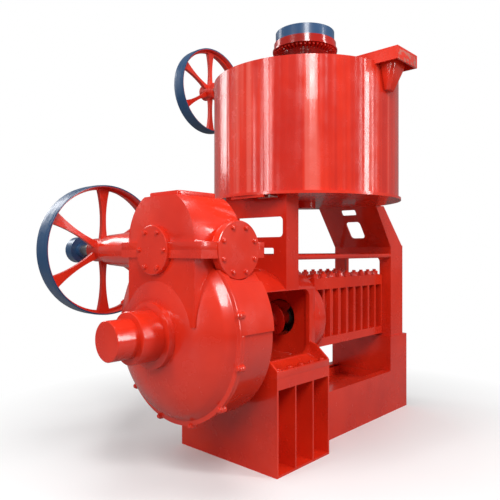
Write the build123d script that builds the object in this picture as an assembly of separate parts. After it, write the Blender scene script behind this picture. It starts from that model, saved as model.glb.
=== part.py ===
"""Screw oil press with a steam kettle, as an assembly of separate pieces.

Frame: the origin is the centre of the foundation bolt pattern on the floor, +Z up.
The main shaft lies along X, with the thrust nose at -X and the cake end at +X.
The belt pulleys stand on the +Y side and the flanged bearing cap on the -Y side.
All sizes are in millimetres.
"""

import math
import os

from build123d import *

# Plate work and running fits
PLATE = 12.0
RUNNING_FIT = 0.05
SEAT_GAP = 0.3

# Welded base
BASE_LENGTH = 1688.0
BASE_WIDTH = 504.0
SIDE_HEIGHT = 299.0
FRONT_COLUMN_LENGTH = 471.0
FRONT_COLUMN_HEIGHT = 513.0
REAR_COLUMN_LENGTH = 250.0
REAR_COLUMN_HEIGHT = 549.0
BASE_FLANGE = 60.0
FOUNDATION_HOLE_RADIUS = 11.0
FOUNDATION_PITCH_X = 1520.0
FOUNDATION_EDGE = 30.0
PEDESTAL_DEPTH = 125.0
FASCIA_HEIGHT = 60.0
PEDESTAL_RIB = 10.0

# Main shaft and its bores
MAIN_AXIS_Z = 760.0
MAIN_SHAFT_RADIUS = 40.0
MAIN_SHAFT_FRONT_X = -1500.0
BUSH_WALL = 20.0

# Feed yoke between the gear case and the cage
YOKE_FRONT_X = -971.0
YOKE_HALF_WIDTH = 245.0
YOKE_FOOT_THICKNESS = 28.0
YOKE_SHOULDER_Z = 950.0
YOKE_CROWN_Z = 1075.0
YOKE_WALL = 30.0
YOKE_FRONT_FLANGE_RADIUS = 290.0
YOKE_FRONT_FLANGE = 30.0
YOKE_REAR_FLANGE = 90.0
YOKE_REAR_FLANGE_WIDTH = 530.0
YOKE_REAR_FLANGE_HEIGHT = 392.0
YOKE_WINDOW_LENGTH = 430.0
YOKE_WINDOW_HEIGHT = 380.0
YOKE_WINDOW_CORNER = 50.0
YOKE_GUSSET_HEIGHT = 58.0
FEED_MOUTH_LENGTH = 210.0
FEED_MOUTH_WIDTH = 200.0
FEED_MOUTH_X = -745.0

# Cage with its lining bars
CAGE_FRONT_X = -240.0
CAGE_LENGTH = 856.0
CAGE_HALF_WIDTH = 177.0
CAGE_TOP_Z = 1001.0
CAGE_BOTTOM_Z = 569.0
CAGE_BAR_WIDTH = 72.0
CAGE_TOP_BAR = 72.0
CAGE_BOTTOM_BAR = 54.0
CAGE_END_PLATE = 24.0
RIB_COUNT = 8
RIB_PITCH = 94.0
RIB_FIRST_X = -62.0
RIB_THICKNESS = 16.0
CAGE_BOLT_COUNT = 9
CAGE_BOLT_PITCH = 93.0
CAGE_BOLT_FIRST_X = -190.0
CAGE_BOLT_RADIUS = 13.0
LINING_BAR_COUNT = 24
LINING_BAR_WIDTH = 26.0
LINING_BAR_THICKNESS = 16.0
BARREL_BORE_RADIUS = 108.0
WORM_CLEARANCE = 3.0

# Rear frame
REAR_FRAME_LENGTH = 182.0
REAR_FRAME_HALF_WIDTH = 242.0
REAR_FRAME_TOP_Z = 1201.0
REAR_FRONT_PLATE = 20.0
REAR_BEARING_RADIUS = 85.0
REAR_CROSSBAR_LENGTH = 60.0
REAR_CROSSBAR_HEIGHT = 120.0

# Worm assembly
FLIGHT_THICKNESS = 12.0
WORM_HUB_RADII = (52.0, 60.0, 68.0, 76.0)
WORM_TURNS = (2, 1, 1, 1)
WORM_PITCHES = (118.0, 100.0, 88.0, 78.0)
WORM_COLLAR = 34.0
WORM_START_X = -330.0

# Gear trains
SPUR_MODULE = 12.0
MAIN_GEAR_TEETH = 56
SPUR_PINION_TEETH = 14
SPUR_WIDTH = 66.0
SPUR_FRONT_X = -1244.0
DRIVE_AXIS_X = -1100.0
BEVEL_MODULE = 8.0
BEVEL_WHEEL_TEETH = 38
BEVEL_PINION_TEETH = 14
BEVEL_FACE = 40.0
CROWN_MODULE = 8.6
CROWN_TEETH = 48
CROWN_PINION_TEETH = 15
CROWN_FACE = 46.0
PRESSURE_ANGLE = 20.0
BACKLASH_SHARE = 0.09

# Gear case and gearbox
CASE_RADIUS = 455.0
CASE_SEAM_X = -1195.0
CASE_WALL = 20.0
COVER_RING_RADIUS = 165.0
COVER_RING_FRONT_X = -1375.0
COVER_RING_REAR_X = -1345.0
COVER_SHOULDER_X = -1254.0
COVER_SHOULDER_RADIUS = 413.0
COVER_MIDDLE_X = -1316.0
COVER_MIDDLE_RADIUS = 310.0
SEAM_RING_RADIUS = 468.0
SEAM_RING_LENGTH = 16.0
SEAM_BOLTS = 12
SEAM_BOLT_LIMIT = 330.0
SEAM_BOLT_CIRCLE = 469.5
BOX_FRONT_X = -1331.0
BOX_REAR_X = -1018.0
BOX_HALF_WIDTH = 290.0
HOOD_RADIUS = 307.0
HOOD_CENTRE_Z = 1145.0
HOOD_WALL = 14.0
LID_LENGTH = 250.0
LID_WIDTH = 240.0
LID_THICKNESS = 24.0
SPLIT_FLANGE = 39.0
SPLIT_FLANGE_Y = 351.0
SPLIT_FLANGE_REAR_X = -914.0
HOUSING_RADIUS = 125.0
FLANGE_CAP_RADIUS = 143.0
FLANGE_CAP_THICKNESS = 20.0
FLANGE_CAP_Y = 356.0
FLANGE_CAP_BOLTS = 8
FLANGE_CAP_BOLT_CIRCLE = 115.0
FRONT_CAP_RADIUS = 123.0
FRONT_CAP_THICKNESS = 28.0
FRONT_CAP_BOLTS = 6
FRONT_CAP_BOLT_CIRCLE = 98.0

# Thrust nose
THRUST_RADIUS = 128.0
THRUST_FRONT_X = -1495.0
NOSE_RADIUS = 96.0
NOSE_FRONT_X = -1611.0

# Drive shaft and pulleys
DRIVE_SHAFT_RADIUS = 34.0
DRIVE_SHAFT_END_Y = 1168.0
SLEEVE_RADIUS = 62.0
SLEEVE_FLANGE_RADIUS = 106.0
SLEEVE_END_Y = 752.0
SLEEVE_CONE_END_Y = 420.0
DRIVE_PULLEY_RADIUS = 407.0
DRIVE_PULLEY_WIDTH = 124.0
DRIVE_PULLEY_Y = 845.0
DRIVE_HUB_RADIUS = 74.0
TAKEOFF_RADIUS = 85.0
TAKEOFF_WIDTH = 72.0
TAKEOFF_Y = 1125.0
KETTLE_PULLEY_RADIUS = 320.0
KETTLE_PULLEY_WIDTH = 96.0
KETTLE_PULLEY_Y = 920.0
KETTLE_HUB_RADIUS = 58.0
SPOKE_COUNT = 6
RIM_THICKNESS = 16.0

# Kettle
KETTLE_X = -104.0
KETTLE_RADIUS = 600.0
KETTLE_WALL = 8.0
KETTLE_FLOOR_Z = 1494.0
KETTLE_FLOOR = 16.0
KETTLE_LIP = 15.0
KETTLE_TOP_Z = 2265.0
OUTLET_X = -655.0
OUTLET_LENGTH = 64.0
OUTLET_WIDTH = 110.0
GATE_THICKNESS = 8.0
GATE_ROD_RADIUS = 7.0
GATE_LAP = 17.0
GATE_RAIL_FRONT = 160.0
GATE_RAIL_REAR = 90.0
PORT_RADIUS = 16.0

# Kettle legs
FRONT_LEG_X = -600.0
FRONT_LEG_DEPTH = 112.0
LEG_HALF_WIDTH = 242.0
REAR_LEG_TOP_X = 398.0
REAR_LEG_TOP_DEPTH = 114.0
TIE_ROD_Z = 1139.0
TIE_ROD_RADIUS = 16.0

# Beam and stirrer drive over the kettle
BEAM_WIDTH = 240.0
BEAM_DEPTH = 73.0
BEAM_TOP_Z = 2320.0
BEAM_HALF_LENGTH = 730.0
BEAM_PLATE = 10.0
CROSS_AXIS_Z = 2412.0
CROSS_SHAFT_RADIUS = 25.0
CROSS_SHAFT_END_Y = 990.0
STIRRER_SHAFT_RADIUS = 30.0
STIRRER_ARM_RADIUS = 560.0
CROWN_RIM_RADIUS = 213.0
CROWN_GROOVE_RADIUS = 204.0
DRUM_RADIUS = 193.0
DRUM_BOTTOM_Z = 2539.0
DRUM_TOP_Z = 2609.0

# Places that follow from the sizes above
HALF_BASE = BASE_LENGTH / 2
HALF_WIDTH = BASE_WIDTH / 2
FRONT_COLUMN_REAR_X = -HALF_BASE + FRONT_COLUMN_LENGTH
REAR_COLUMN_X = HALF_BASE - REAR_COLUMN_LENGTH
YOKE_REAR_X = CAGE_FRONT_X
YOKE_BODY_FRONT_X = YOKE_FRONT_X + YOKE_FRONT_FLANGE
CAGE_REAR_X = CAGE_FRONT_X + CAGE_LENGTH
REAR_FRAME_X = CAGE_REAR_X
REAR_FRAME_END_X = REAR_FRAME_X + REAR_FRAME_LENGTH
LINING_SEAT_RADIUS = math.hypot(BARREL_BORE_RADIUS + LINING_BAR_THICKNESS, LINING_BAR_WIDTH / 2) + SEAT_GAP
DRIVE_AXIS_Z = MAIN_AXIS_Z + SPUR_MODULE * (MAIN_GEAR_TEETH + SPUR_PINION_TEETH) / 2
SPUR_REAR_X = SPUR_FRONT_X + SPUR_WIDTH
BEVEL_WHEEL_RADIUS = BEVEL_MODULE * BEVEL_WHEEL_TEETH / 2
BEVEL_PINION_RADIUS = BEVEL_MODULE * BEVEL_PINION_TEETH / 2
CROWN_RADIUS = CROWN_MODULE * CROWN_TEETH / 2
CROWN_PINION_RADIUS = CROWN_MODULE * CROWN_PINION_TEETH / 2
KETTLE_INNER_RADIUS = KETTLE_RADIUS - KETTLE_WALL
BUSH_RADIUS = MAIN_SHAFT_RADIUS + BUSH_WALL
HOOD_TOP_Z = HOOD_CENTRE_Z + HOOD_RADIUS - 5.0


YOKE_LOW_GUSSET = MAIN_AXIS_Z - YOKE_WINDOW_HEIGHT / 2 - FRONT_COLUMN_HEIGHT - YOKE_FOOT_THICKNESS - 1
YOKE_GUSSETS = (
    (-HALF_BASE + 10, YOKE_GUSSET_HEIGHT),
    (-HALF_BASE + 150, YOKE_LOW_GUSSET),
    (FRONT_COLUMN_REAR_X - 170, YOKE_LOW_GUSSET),
    (FRONT_COLUMN_REAR_X - 30, YOKE_GUSSET_HEIGHT),
)


def block(x0, x1, y0, y1, z0, z1):
    """A plate or bar between two corners."""
    size = Box(abs(x1 - x0), abs(y1 - y0), abs(z1 - z0))
    return Pos((x0 + x1) / 2, (y0 + y1) / 2, (z0 + z1) / 2) * size


def rod_x(radius, x0, x1, y=0.0, z=MAIN_AXIS_Z):
    """A cylinder along X."""
    return Pos((x0 + x1) / 2, y, z) * Rot(0, 90, 0) * Cylinder(radius, abs(x1 - x0))


def rod_y(radius, y0, y1, x=DRIVE_AXIS_X, z=DRIVE_AXIS_Z):
    """A cylinder along Y."""
    return Pos(x, (y0 + y1) / 2, z) * Rot(90, 0, 0) * Cylinder(radius, abs(y1 - y0))


def rod_z(radius, z0, z1, x=KETTLE_X, y=0.0):
    """A cylinder along Z."""
    return Pos(x, y, (z0 + z1) / 2) * Cylinder(radius, abs(z1 - z0))


def plate_xz(points, y0, y1):
    """A plate whose outline lies in X and Z, between two places in Y."""
    outline = Polyline(*[(x, y0, z) for x, z in points], close=True)
    return extrude(make_face(outline), amount=y1 - y0, dir=(0, 1, 0))


def plate_yz(points, x0, x1):
    """A plate whose outline lies in Y and Z, between two places in X."""
    outline = Polyline(*[(x0, y, z) for y, z in points], close=True)
    return extrude(make_face(outline), amount=x1 - x0, dir=(1, 0, 0))


def window_x(y0, y1, z0, z1, corner, x0, x1):
    """A rounded opening that runs along X."""
    shape = Plane.YZ * RectangleRounded(y1 - y0, z1 - z0, corner)
    return Pos(x0, (y0 + y1) / 2, (z0 + z1) / 2) * extrude(shape, amount=x1 - x0)


def window_y(x0, x1, z0, z1, corner, y0, y1):
    """A rounded opening that runs along Y."""
    shape = Plane.XZ * RectangleRounded(x1 - x0, z1 - z0, corner)
    return Pos((x0 + x1) / 2, y1, (z0 + z1) / 2) * extrude(shape, amount=y1 - y0)


def turned_x(points, z=MAIN_AXIS_Z):
    """A turned piece: pairs of X and radius, revolved about a line along X."""
    outline = Polyline(*[(x, 0, z + r) for x, r in points], close=True)
    return revolve(make_face(outline), axis=Axis((0, 0, z), (1, 0, 0)))


def turned_y(points, x=DRIVE_AXIS_X, z=DRIVE_AXIS_Z):
    """A turned piece: pairs of Y and radius, revolved about a line along Y."""
    outline = Polyline(*[(x, y, z + r) for y, r in points], close=True)
    return revolve(make_face(outline), axis=Axis((x, 0, z), (0, 1, 0)))


def turned_z(points, x=KETTLE_X, y=0.0):
    """A turned piece: pairs of radius and Z, revolved about a line along Z."""
    outline = Polyline(*[(x + r, y, z) for r, z in points], close=True)
    return revolve(make_face(outline), axis=Axis((x, y, 0), (0, 0, 1)))


def ring_x(outer, inner, x0, x1, y=0.0, z=MAIN_AXIS_Z):
    """A bush or ring along X."""
    return rod_x(outer, x0, x1, y, z) - rod_x(inner, x0 - 1, x1 + 1, y, z)


def hexagon(across, height):
    """A hexagon head standing on the floor plane."""
    return extrude(RegularPolygon(across / 2, 6, major_radius=False), amount=height)


def bolt(across, head, radius, length):
    """A bolt whose head stands up from the floor plane and whose shank hangs below it."""
    return hexagon(across, head) + Pos(0, 0, -length / 2) * Cylinder(radius, length)


def toward_minus_y(shape, x, y, z):
    """Turns a piece that stands up along Z so that it points to -Y."""
    return Pos(x, y, z) * Rot(90, 0, 0) * shape


def toward_minus_x(shape, x, y, z):
    """Turns a piece that stands up along Z so that it points to -X."""
    return Pos(x, y, z) * Rot(0, -90, 0) * shape


def toward_plus_x(shape, x, y, z):
    """Turns a piece that stands up along Z so that it points to +X."""
    return Pos(x, y, z) * Rot(0, 90, 0) * shape


def base_frame():
    """The welded base: side plates with two columns, cross plates and flanges."""
    profile = [
        (-HALF_BASE, 0),
        (HALF_BASE, 0),
        (HALF_BASE, REAR_COLUMN_HEIGHT),
        (REAR_COLUMN_X, REAR_COLUMN_HEIGHT),
        (REAR_COLUMN_X, SIDE_HEIGHT),
        (FRONT_COLUMN_REAR_X, SIDE_HEIGHT),
        (FRONT_COLUMN_REAR_X, FRONT_COLUMN_HEIGHT),
        (-HALF_BASE, FRONT_COLUMN_HEIGHT),
    ]
    inner = HALF_WIDTH - PLATE
    flange = HALF_WIDTH - BASE_FLANGE
    frame = plate_xz(profile, -HALF_WIDTH, -inner) + plate_xz(profile, inner, HALF_WIDTH)
    for side in (-1, 1):
        frame += block(-HALF_BASE, HALF_BASE, side * flange, side * inner, 0, PLATE)
        low = SIDE_HEIGHT - PLATE
        top = block(FRONT_COLUMN_REAR_X, REAR_COLUMN_X, side * flange, side * inner, low, SIDE_HEIGHT)
        frame += top
    walls = (
        (-HALF_BASE, FRONT_COLUMN_HEIGHT),
        (FRONT_COLUMN_REAR_X - PLATE, FRONT_COLUMN_HEIGHT),
        (REAR_COLUMN_X, REAR_COLUMN_HEIGHT),
        (HALF_BASE - PLATE, REAR_COLUMN_HEIGHT),
    )
    for x, height in walls:
        frame += block(x, x + PLATE, -inner, inner, 0, height)
    frame += block(
        -HALF_BASE, FRONT_COLUMN_REAR_X, -inner, inner, FRONT_COLUMN_HEIGHT - PLATE, FRONT_COLUMN_HEIGHT
    )
    frame += block(REAR_COLUMN_X, HALF_BASE, -inner, inner, REAR_COLUMN_HEIGHT - PLATE, REAR_COLUMN_HEIGHT)
    low, high = REAR_COLUMN_HEIGHT - 2 * PLATE, REAR_COLUMN_HEIGHT + 1
    frame -= block(REAR_COLUMN_X + 50, HALF_BASE - 50, -120, 120, low, high)
    frame -= block(HALF_BASE - 2 * PLATE, HALF_BASE + 1, -150, 150, 120, REAR_COLUMN_HEIGHT - 120)
    for x in (-FOUNDATION_PITCH_X / 2, FOUNDATION_PITCH_X / 2):
        for side in (-1, 1):
            frame -= rod_z(FOUNDATION_HOLE_RADIUS, -1, PLATE + 1, x, side * (HALF_WIDTH - FOUNDATION_EDGE))
    return frame


def pedestal(side):
    """One of the two stands beside the front column, open outwards in three bays."""
    inner = side * (HALF_WIDTH)
    outer = side * (HALF_WIDTH + PEDESTAL_DEPTH)
    front, rear = -HALF_BASE, FRONT_COLUMN_REAR_X
    stand = block(front, rear, inner, outer, FRONT_COLUMN_HEIGHT - PLATE, FRONT_COLUMN_HEIGHT)
    stand += block(front, rear, inner, outer, 0, PLATE)
    stand += block(front, rear, inner, inner + side * PEDESTAL_RIB, 0, FRONT_COLUMN_HEIGHT)
    stand += block(
        front, rear, outer - side * PEDESTAL_RIB, outer, FRONT_COLUMN_HEIGHT - FASCIA_HEIGHT, FRONT_COLUMN_HEIGHT
    )
    stand += block(front, front + PLATE, inner, outer, 0, FRONT_COLUMN_HEIGHT)
    stand += block(rear - PLATE, rear, inner, outer, 0, FRONT_COLUMN_HEIGHT)
    for third in (1, 2):
        x = front + FRONT_COLUMN_LENGTH * third / 3
        stand += block(x - PEDESTAL_RIB / 2, x + PEDESTAL_RIB / 2, inner, outer, 0, FRONT_COLUMN_HEIGHT)
    return stand


def oil_tray():
    """The sloping tray between the base sides, which catches the oil under the cage."""
    inner = HALF_WIDTH - BASE_FLANGE - 4
    front = FRONT_COLUMN_REAR_X + 4
    rear = REAR_COLUMN_X - 4
    high, low, rim = 220.0, 180.0, 60.0
    outline = [(front, low), (rear, high), (rear, high + rim), (front, low + rim + 40)]
    hollow = [(front + 5, low + 5), (rear - 5, high + 5), (rear - 5, high + rim + 1), (front + 5, low + rim + 41)]
    tray = plate_xz(outline, -inner, inner) - plate_xz(hollow, -inner + 5, inner - 5)
    lug = FRONT_COLUMN_REAR_X + SEAT_GAP
    tray += block(lug, front + 1, -60, 60, low + 40, low + 60)
    return tray


def yoke_profile(inset):
    """The arched cross-section of the feed yoke, drawn in by a wall thickness."""
    half = YOKE_HALF_WIDTH - inset
    floor = FRONT_COLUMN_HEIGHT + inset
    shoulder = YOKE_SHOULDER_Z - inset / 2
    crown = YOKE_CROWN_Z - inset
    x = YOKE_BODY_FRONT_X
    edges = [
        Line((x, half, shoulder), (x, half, floor)),
        Line((x, half, floor), (x, -half, floor)),
        Line((x, -half, floor), (x, -half, shoulder)),
        ThreePointArc((x, -half, shoulder), (x, 0, crown), (x, half, shoulder)),
    ]
    return Face(Wire(edges))


def feed_yoke():
    """The casting that joins the gear case to the cage and takes the feed."""
    rear_flange_x = YOKE_REAR_X - YOKE_REAR_FLANGE
    length = rear_flange_x - YOKE_BODY_FRONT_X
    body = extrude(yoke_profile(0), amount=length, dir=(1, 0, 0))
    room = extrude(yoke_profile(YOKE_WALL), amount=length - YOKE_WALL, dir=(1, 0, 0))
    cavity = Pos(YOKE_WALL, 0, 0) * room
    flange_shape = Plane.YZ * RectangleRounded(YOKE_REAR_FLANGE_WIDTH, YOKE_REAR_FLANGE_HEIGHT, 70)
    flange = Pos(rear_flange_x, 0, MAIN_AXIS_Z + 28) * extrude(flange_shape, amount=YOKE_REAR_FLANGE)
    flange = chamfer(flange.faces().sort_by(Axis.X)[0].edges(), 32)
    body -= cavity
    body += flange
    body += rod_x(YOKE_FRONT_FLANGE_RADIUS, YOKE_FRONT_X, YOKE_BODY_FRONT_X)
    middle = (YOKE_BODY_FRONT_X + YOKE_WALL + rear_flange_x) / 2 + 5
    body -= window_y(
        middle - YOKE_WINDOW_LENGTH / 2,
        middle + YOKE_WINDOW_LENGTH / 2,
        MAIN_AXIS_Z - YOKE_WINDOW_HEIGHT / 2,
        MAIN_AXIS_Z + YOKE_WINDOW_HEIGHT / 2,
        YOKE_WINDOW_CORNER,
        -YOKE_HALF_WIDTH - 50,
        YOKE_HALF_WIDTH + 50,
    )
    mouth = FEED_MOUTH_LENGTH / 2
    half, top = FEED_MOUTH_WIDTH / 2, YOKE_CROWN_Z + 1
    body -= window_z(FEED_MOUTH_X - mouth, FEED_MOUTH_X + mouth, half, 30, YOKE_SHOULDER_Z, top)
    outer = HALF_WIDTH + PEDESTAL_DEPTH
    foot_top = FRONT_COLUMN_HEIGHT + YOKE_FOOT_THICKNESS
    for side in (-1, 1):
        inner = side * (YOKE_HALF_WIDTH - 5)
        body += block(-HALF_BASE, FRONT_COLUMN_REAR_X, inner, side * outer, FRONT_COLUMN_HEIGHT, foot_top)
        for x, height in YOKE_GUSSETS:
            slope = [(inner, foot_top - 1), (side * (outer - 55), foot_top - 1), (inner, foot_top + height)]
            body += plate_yz(slope, x, x + 20)
    body -= rod_x(BARREL_BORE_RADIUS + 4, rear_flange_x - 1, YOKE_REAR_X + 1)
    body -= rod_x(BUSH_RADIUS + RUNNING_FIT, YOKE_FRONT_X - 1, YOKE_BODY_FRONT_X + YOKE_WALL + 1)
    return body


def window_z(x0, x1, half_width, corner, z0, z1):
    """A rounded opening that runs along Z."""
    shape = RectangleRounded(x1 - x0, 2 * half_width, corner)
    return Pos((x0 + x1) / 2, 0, z0) * extrude(shape, amount=z1 - z0)


def rib_places():
    """The X places of the cage ribs."""
    return [RIB_FIRST_X + RIB_PITCH * n for n in range(RIB_COUNT)]


def cage_half(upper):
    """One half of the cage: two bars, the ribs and the end plates, bored for the lining."""
    outer_z = CAGE_TOP_Z if upper else CAGE_BOTTOM_Z
    bar = -CAGE_TOP_BAR if upper else CAGE_BOTTOM_BAR
    inner_y = CAGE_HALF_WIDTH - CAGE_BAR_WIDTH
    web_z = outer_z + bar / 4
    half = block(CAGE_FRONT_X, CAGE_FRONT_X + CAGE_END_PLATE, -CAGE_HALF_WIDTH, CAGE_HALF_WIDTH, MAIN_AXIS_Z, outer_z)
    half += block(CAGE_REAR_X - RIB_THICKNESS, CAGE_REAR_X, -CAGE_HALF_WIDTH, CAGE_HALF_WIDTH, MAIN_AXIS_Z, outer_z)
    for x in rib_places():
        half += block(x - RIB_THICKNESS / 2, x + RIB_THICKNESS / 2, -CAGE_HALF_WIDTH, CAGE_HALF_WIDTH, MAIN_AXIS_Z, web_z)
    for side in (-1, 1):
        half += block(CAGE_FRONT_X, CAGE_REAR_X, side * inner_y, side * CAGE_HALF_WIDTH, outer_z + bar, outer_z)
    half -= rod_x(LINING_SEAT_RADIUS, CAGE_FRONT_X - 1, CAGE_REAR_X + 1)
    bolt_y = CAGE_HALF_WIDTH - CAGE_BAR_WIDTH / 2
    for n in range(CAGE_BOLT_COUNT):
        x = CAGE_BOLT_FIRST_X + CAGE_BOLT_PITCH * n
        for side in (-1, 1):
            half -= rod_z(CAGE_BOLT_RADIUS + 0.5, outer_z + bar - 5, outer_z + 5, x, side * bolt_y)
            half -= rod_z(CAGE_BOLT_RADIUS + 0.5, outer_z - bar * 0.2 - 5, outer_z + bar + 5, x, side * bolt_y)
    return half


def cage_bolts(side):
    """Nine long bolts with nuts that clamp the two cage halves on one side."""
    bolt_y = side * (CAGE_HALF_WIDTH - CAGE_BAR_WIDTH / 2)
    bolts = []
    for n in range(CAGE_BOLT_COUNT):
        x = CAGE_BOLT_FIRST_X + CAGE_BOLT_PITCH * n
        rod = rod_z(CAGE_BOLT_RADIUS, CAGE_BOTTOM_Z - 34, CAGE_TOP_Z + 40, x, bolt_y)
        rod += Pos(x, bolt_y, CAGE_TOP_Z) * hexagon(44, 24)
        rod += Pos(x, bolt_y, CAGE_BOTTOM_Z - 24) * hexagon(44, 24)
        bolts.append(rod)
    return bolts


def lining_bars():
    """The ring of separate flat bars whose slits let the oil out."""
    x0 = CAGE_FRONT_X + 1
    x1 = CAGE_REAR_X - 1
    bar = block(
        x0, x1, -LINING_BAR_WIDTH / 2, LINING_BAR_WIDTH / 2, BARREL_BORE_RADIUS, BARREL_BORE_RADIUS + LINING_BAR_THICKNESS
    )
    return [
        Pos(0, 0, MAIN_AXIS_Z) * Rot(360 * (n + 0.5) / LINING_BAR_COUNT, 0, 0) * bar
        for n in range(LINING_BAR_COUNT)
    ]


def rear_frame():
    """The rear post: front plate, two sides, top and bottom plates, and the bearing crossbar."""
    x0, x1 = REAR_FRAME_X, REAR_FRAME_END_X
    half = REAR_FRAME_HALF_WIDTH
    frame = block(x0, x0 + REAR_FRONT_PLATE, -half, half, REAR_COLUMN_HEIGHT, REAR_FRAME_TOP_Z)
    for side in (-1, 1):
        frame += block(x0, x1, side * (half - PLATE), side * half, REAR_COLUMN_HEIGHT, REAR_FRAME_TOP_Z)
    frame += block(x0, x1, -half, half, REAR_FRAME_TOP_Z - PLATE, REAR_FRAME_TOP_Z)
    for side in (-1, 1):
        frame += block(x0, x1, side * 130, side * half, REAR_COLUMN_HEIGHT, REAR_COLUMN_HEIGHT + PLATE)
    cross = x1 - REAR_CROSSBAR_LENGTH
    frame += block(
        cross, x1, -half, half, MAIN_AXIS_Z - REAR_CROSSBAR_HEIGHT / 2, MAIN_AXIS_Z + REAR_CROSSBAR_HEIGHT / 2
    )
    frame += rod_x(REAR_BEARING_RADIUS, cross, x1 + 14)
    frame -= rod_x(BUSH_RADIUS + RUNNING_FIT, cross - 1, x1 + 15)
    frame -= rod_x(LINING_SEAT_RADIUS, x0 - 1, x0 + REAR_FRONT_PLATE + 1)
    frame -= window_x(-150, 150, 960, 1130, 40, x0 - 1, x0 + REAR_FRONT_PLATE + 1)
    return frame


def flight(pitch, turns, hub, outer, start_x):
    """A worm flight: a flat bar wound round the hub as a helix."""
    sections = 12 * turns
    step = 360.0 / 12
    inner = hub - 3
    wires = []
    for n in range(sections + 1):
        x = start_x + pitch * n / 12
        angle = math.radians(step * n)
        corners = [
            (x - FLIGHT_THICKNESS / 2, inner),
            (x + FLIGHT_THICKNESS / 2, inner),
            (x + FLIGHT_THICKNESS / 3, outer),
            (x - FLIGHT_THICKNESS / 3, outer),
        ]
        points = [(px, r * math.cos(angle), MAIN_AXIS_Z + r * math.sin(angle)) for px, r in corners]
        wires.append(Polyline(*points, close=True))
    pieces = [loft([make_face(a), make_face(b)], ruled=True) for a, b in zip(wires, wires[1:])]
    whole = pieces[0]
    for piece in pieces[1:]:
        whole += piece
    return whole


def worm_layout():
    """The start, length, hub, pitch and turns of each worm segment along the barrel."""
    places = []
    x = WORM_START_X
    for hub, turns, pitch in zip(WORM_HUB_RADII, WORM_TURNS, WORM_PITCHES):
        length = pitch * turns + FLIGHT_THICKNESS + 6
        places.append((x, length, hub, pitch, turns))
        x += length + WORM_COLLAR
    return places


def worm_segments():
    """The worm segments, each a bored hub with its flight."""
    outer = BARREL_BORE_RADIUS - WORM_CLEARANCE
    segments = []
    for x, length, hub, pitch, turns in worm_layout():
        segment = ring_x(hub, MAIN_SHAFT_RADIUS + RUNNING_FIT, x, x + length)
        segment += flight(pitch, turns, hub, outer, x + FLIGHT_THICKNESS / 2 + 3)
        segments.append(segment)
    return segments


def worm_collars():
    """The plain collars between the worm segments and the choke cone at the cake end."""
    collars = []
    layout = worm_layout()
    for (x, length, hub, _, _), following in zip(layout, layout[1:]):
        start, end = x + length, following[0]
        middle = (start + end) / 2
        collars.append(
            turned_x(
                [
                    (start, MAIN_SHAFT_RADIUS + RUNNING_FIT),
                    (start, hub),
                    (middle - 4, hub + 16),
                    (middle + 4, hub + 16),
                    (end, following[2]),
                    (end, MAIN_SHAFT_RADIUS + RUNNING_FIT),
                ]
            )
        )
    x, length, hub, _, _ = layout[-1]
    start = x + length
    cone_end = CAGE_REAR_X + REAR_FRONT_PLATE + 30
    collars.append(
        turned_x(
            [
                (start, MAIN_SHAFT_RADIUS + RUNNING_FIT),
                (start, hub),
                (CAGE_REAR_X - 30, BARREL_BORE_RADIUS - 12),
                (cone_end, BARREL_BORE_RADIUS - 4),
                (cone_end, MAIN_SHAFT_RADIUS + RUNNING_FIT),
            ]
        )
    )
    return collars


def involute_width(module, teeth, radius):
    """Half the angle of a tooth at a radius, with the backlash taken off."""
    pitch_radius = module * teeth / 2
    base_radius = pitch_radius * math.cos(math.radians(PRESSURE_ANGLE))
    at_pitch = math.pi / (2 * teeth) * (1 - BACKLASH_SHARE)
    inv_pitch = math.tan(math.radians(PRESSURE_ANGLE)) - math.radians(PRESSURE_ANGLE)
    angle = math.acos(min(1.0, base_radius / max(radius, base_radius)))
    return at_pitch + inv_pitch - (math.tan(angle) - angle)


def spur_face_points(module, teeth, first_angle):
    """The outline of a spur gear as pairs of angle and radius."""
    pitch_radius = module * teeth / 2
    root = pitch_radius - 1.25 * module
    tip = pitch_radius + 0.9 * module
    points = []
    for n in range(teeth):
        centre = first_angle + 2 * math.pi * n / teeth
        low = involute_width(module, teeth, pitch_radius - 0.6 * module)
        mid = involute_width(module, teeth, pitch_radius)
        high = involute_width(module, teeth, tip)
        flank = ((low, root), (mid, pitch_radius), (high, tip))
        for half, radius in [(-half, r) for half, r in flank] + list(reversed(flank)):
            points.append((centre + half, radius))
    return points


def spur_gear(module, teeth, first_angle, x0, x1, z):
    """A spur gear along X. Angles run from +Y towards +Z."""
    flat = [(r * math.cos(a), z + r * math.sin(a)) for a, r in spur_face_points(module, teeth, first_angle)]
    return plate_yz(flat, x0, x1)


def bevel_teeth(module, teeth, mate_teeth, face, first_angle):
    """Straight bevel teeth about Z with the apex at the origin, facing down the axis from above.

    The pitch cone opens upwards: its outer end is at the height of the mate's pitch radius.
    """
    radius = module * teeth / 2
    height = module * mate_teeth / 2
    cone = math.hypot(radius, height)
    shrink = (cone - face) / cone
    out = (height / cone, -radius / cone)
    solids = []
    rows = (-1.45, 0.0, 0.82)
    virtual = teeth * cone / height
    for n in range(teeth):
        centre = first_angle + 360.0 * n / teeth
        profile = []
        for row in rows:
            reach = row * module
            local = module * virtual / 2 + reach
            half = involute_width(module, virtual, local) * local
            profile.append((radius + out[0] * reach, height + out[1] * reach, half))
        corners = [(r, half, h) for r, h, half in profile] + [(r, -half, h) for r, h, half in reversed(profile)]
        big = Polyline(*corners, close=True)
        small = Polyline(*[(a * shrink, b * shrink, c * shrink) for a, b, c in corners], close=True)
        tooth = loft([make_face(big), make_face(small)], ruled=True)
        solids.append(Rot(0, 0, centre) * tooth)
    return solids


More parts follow.
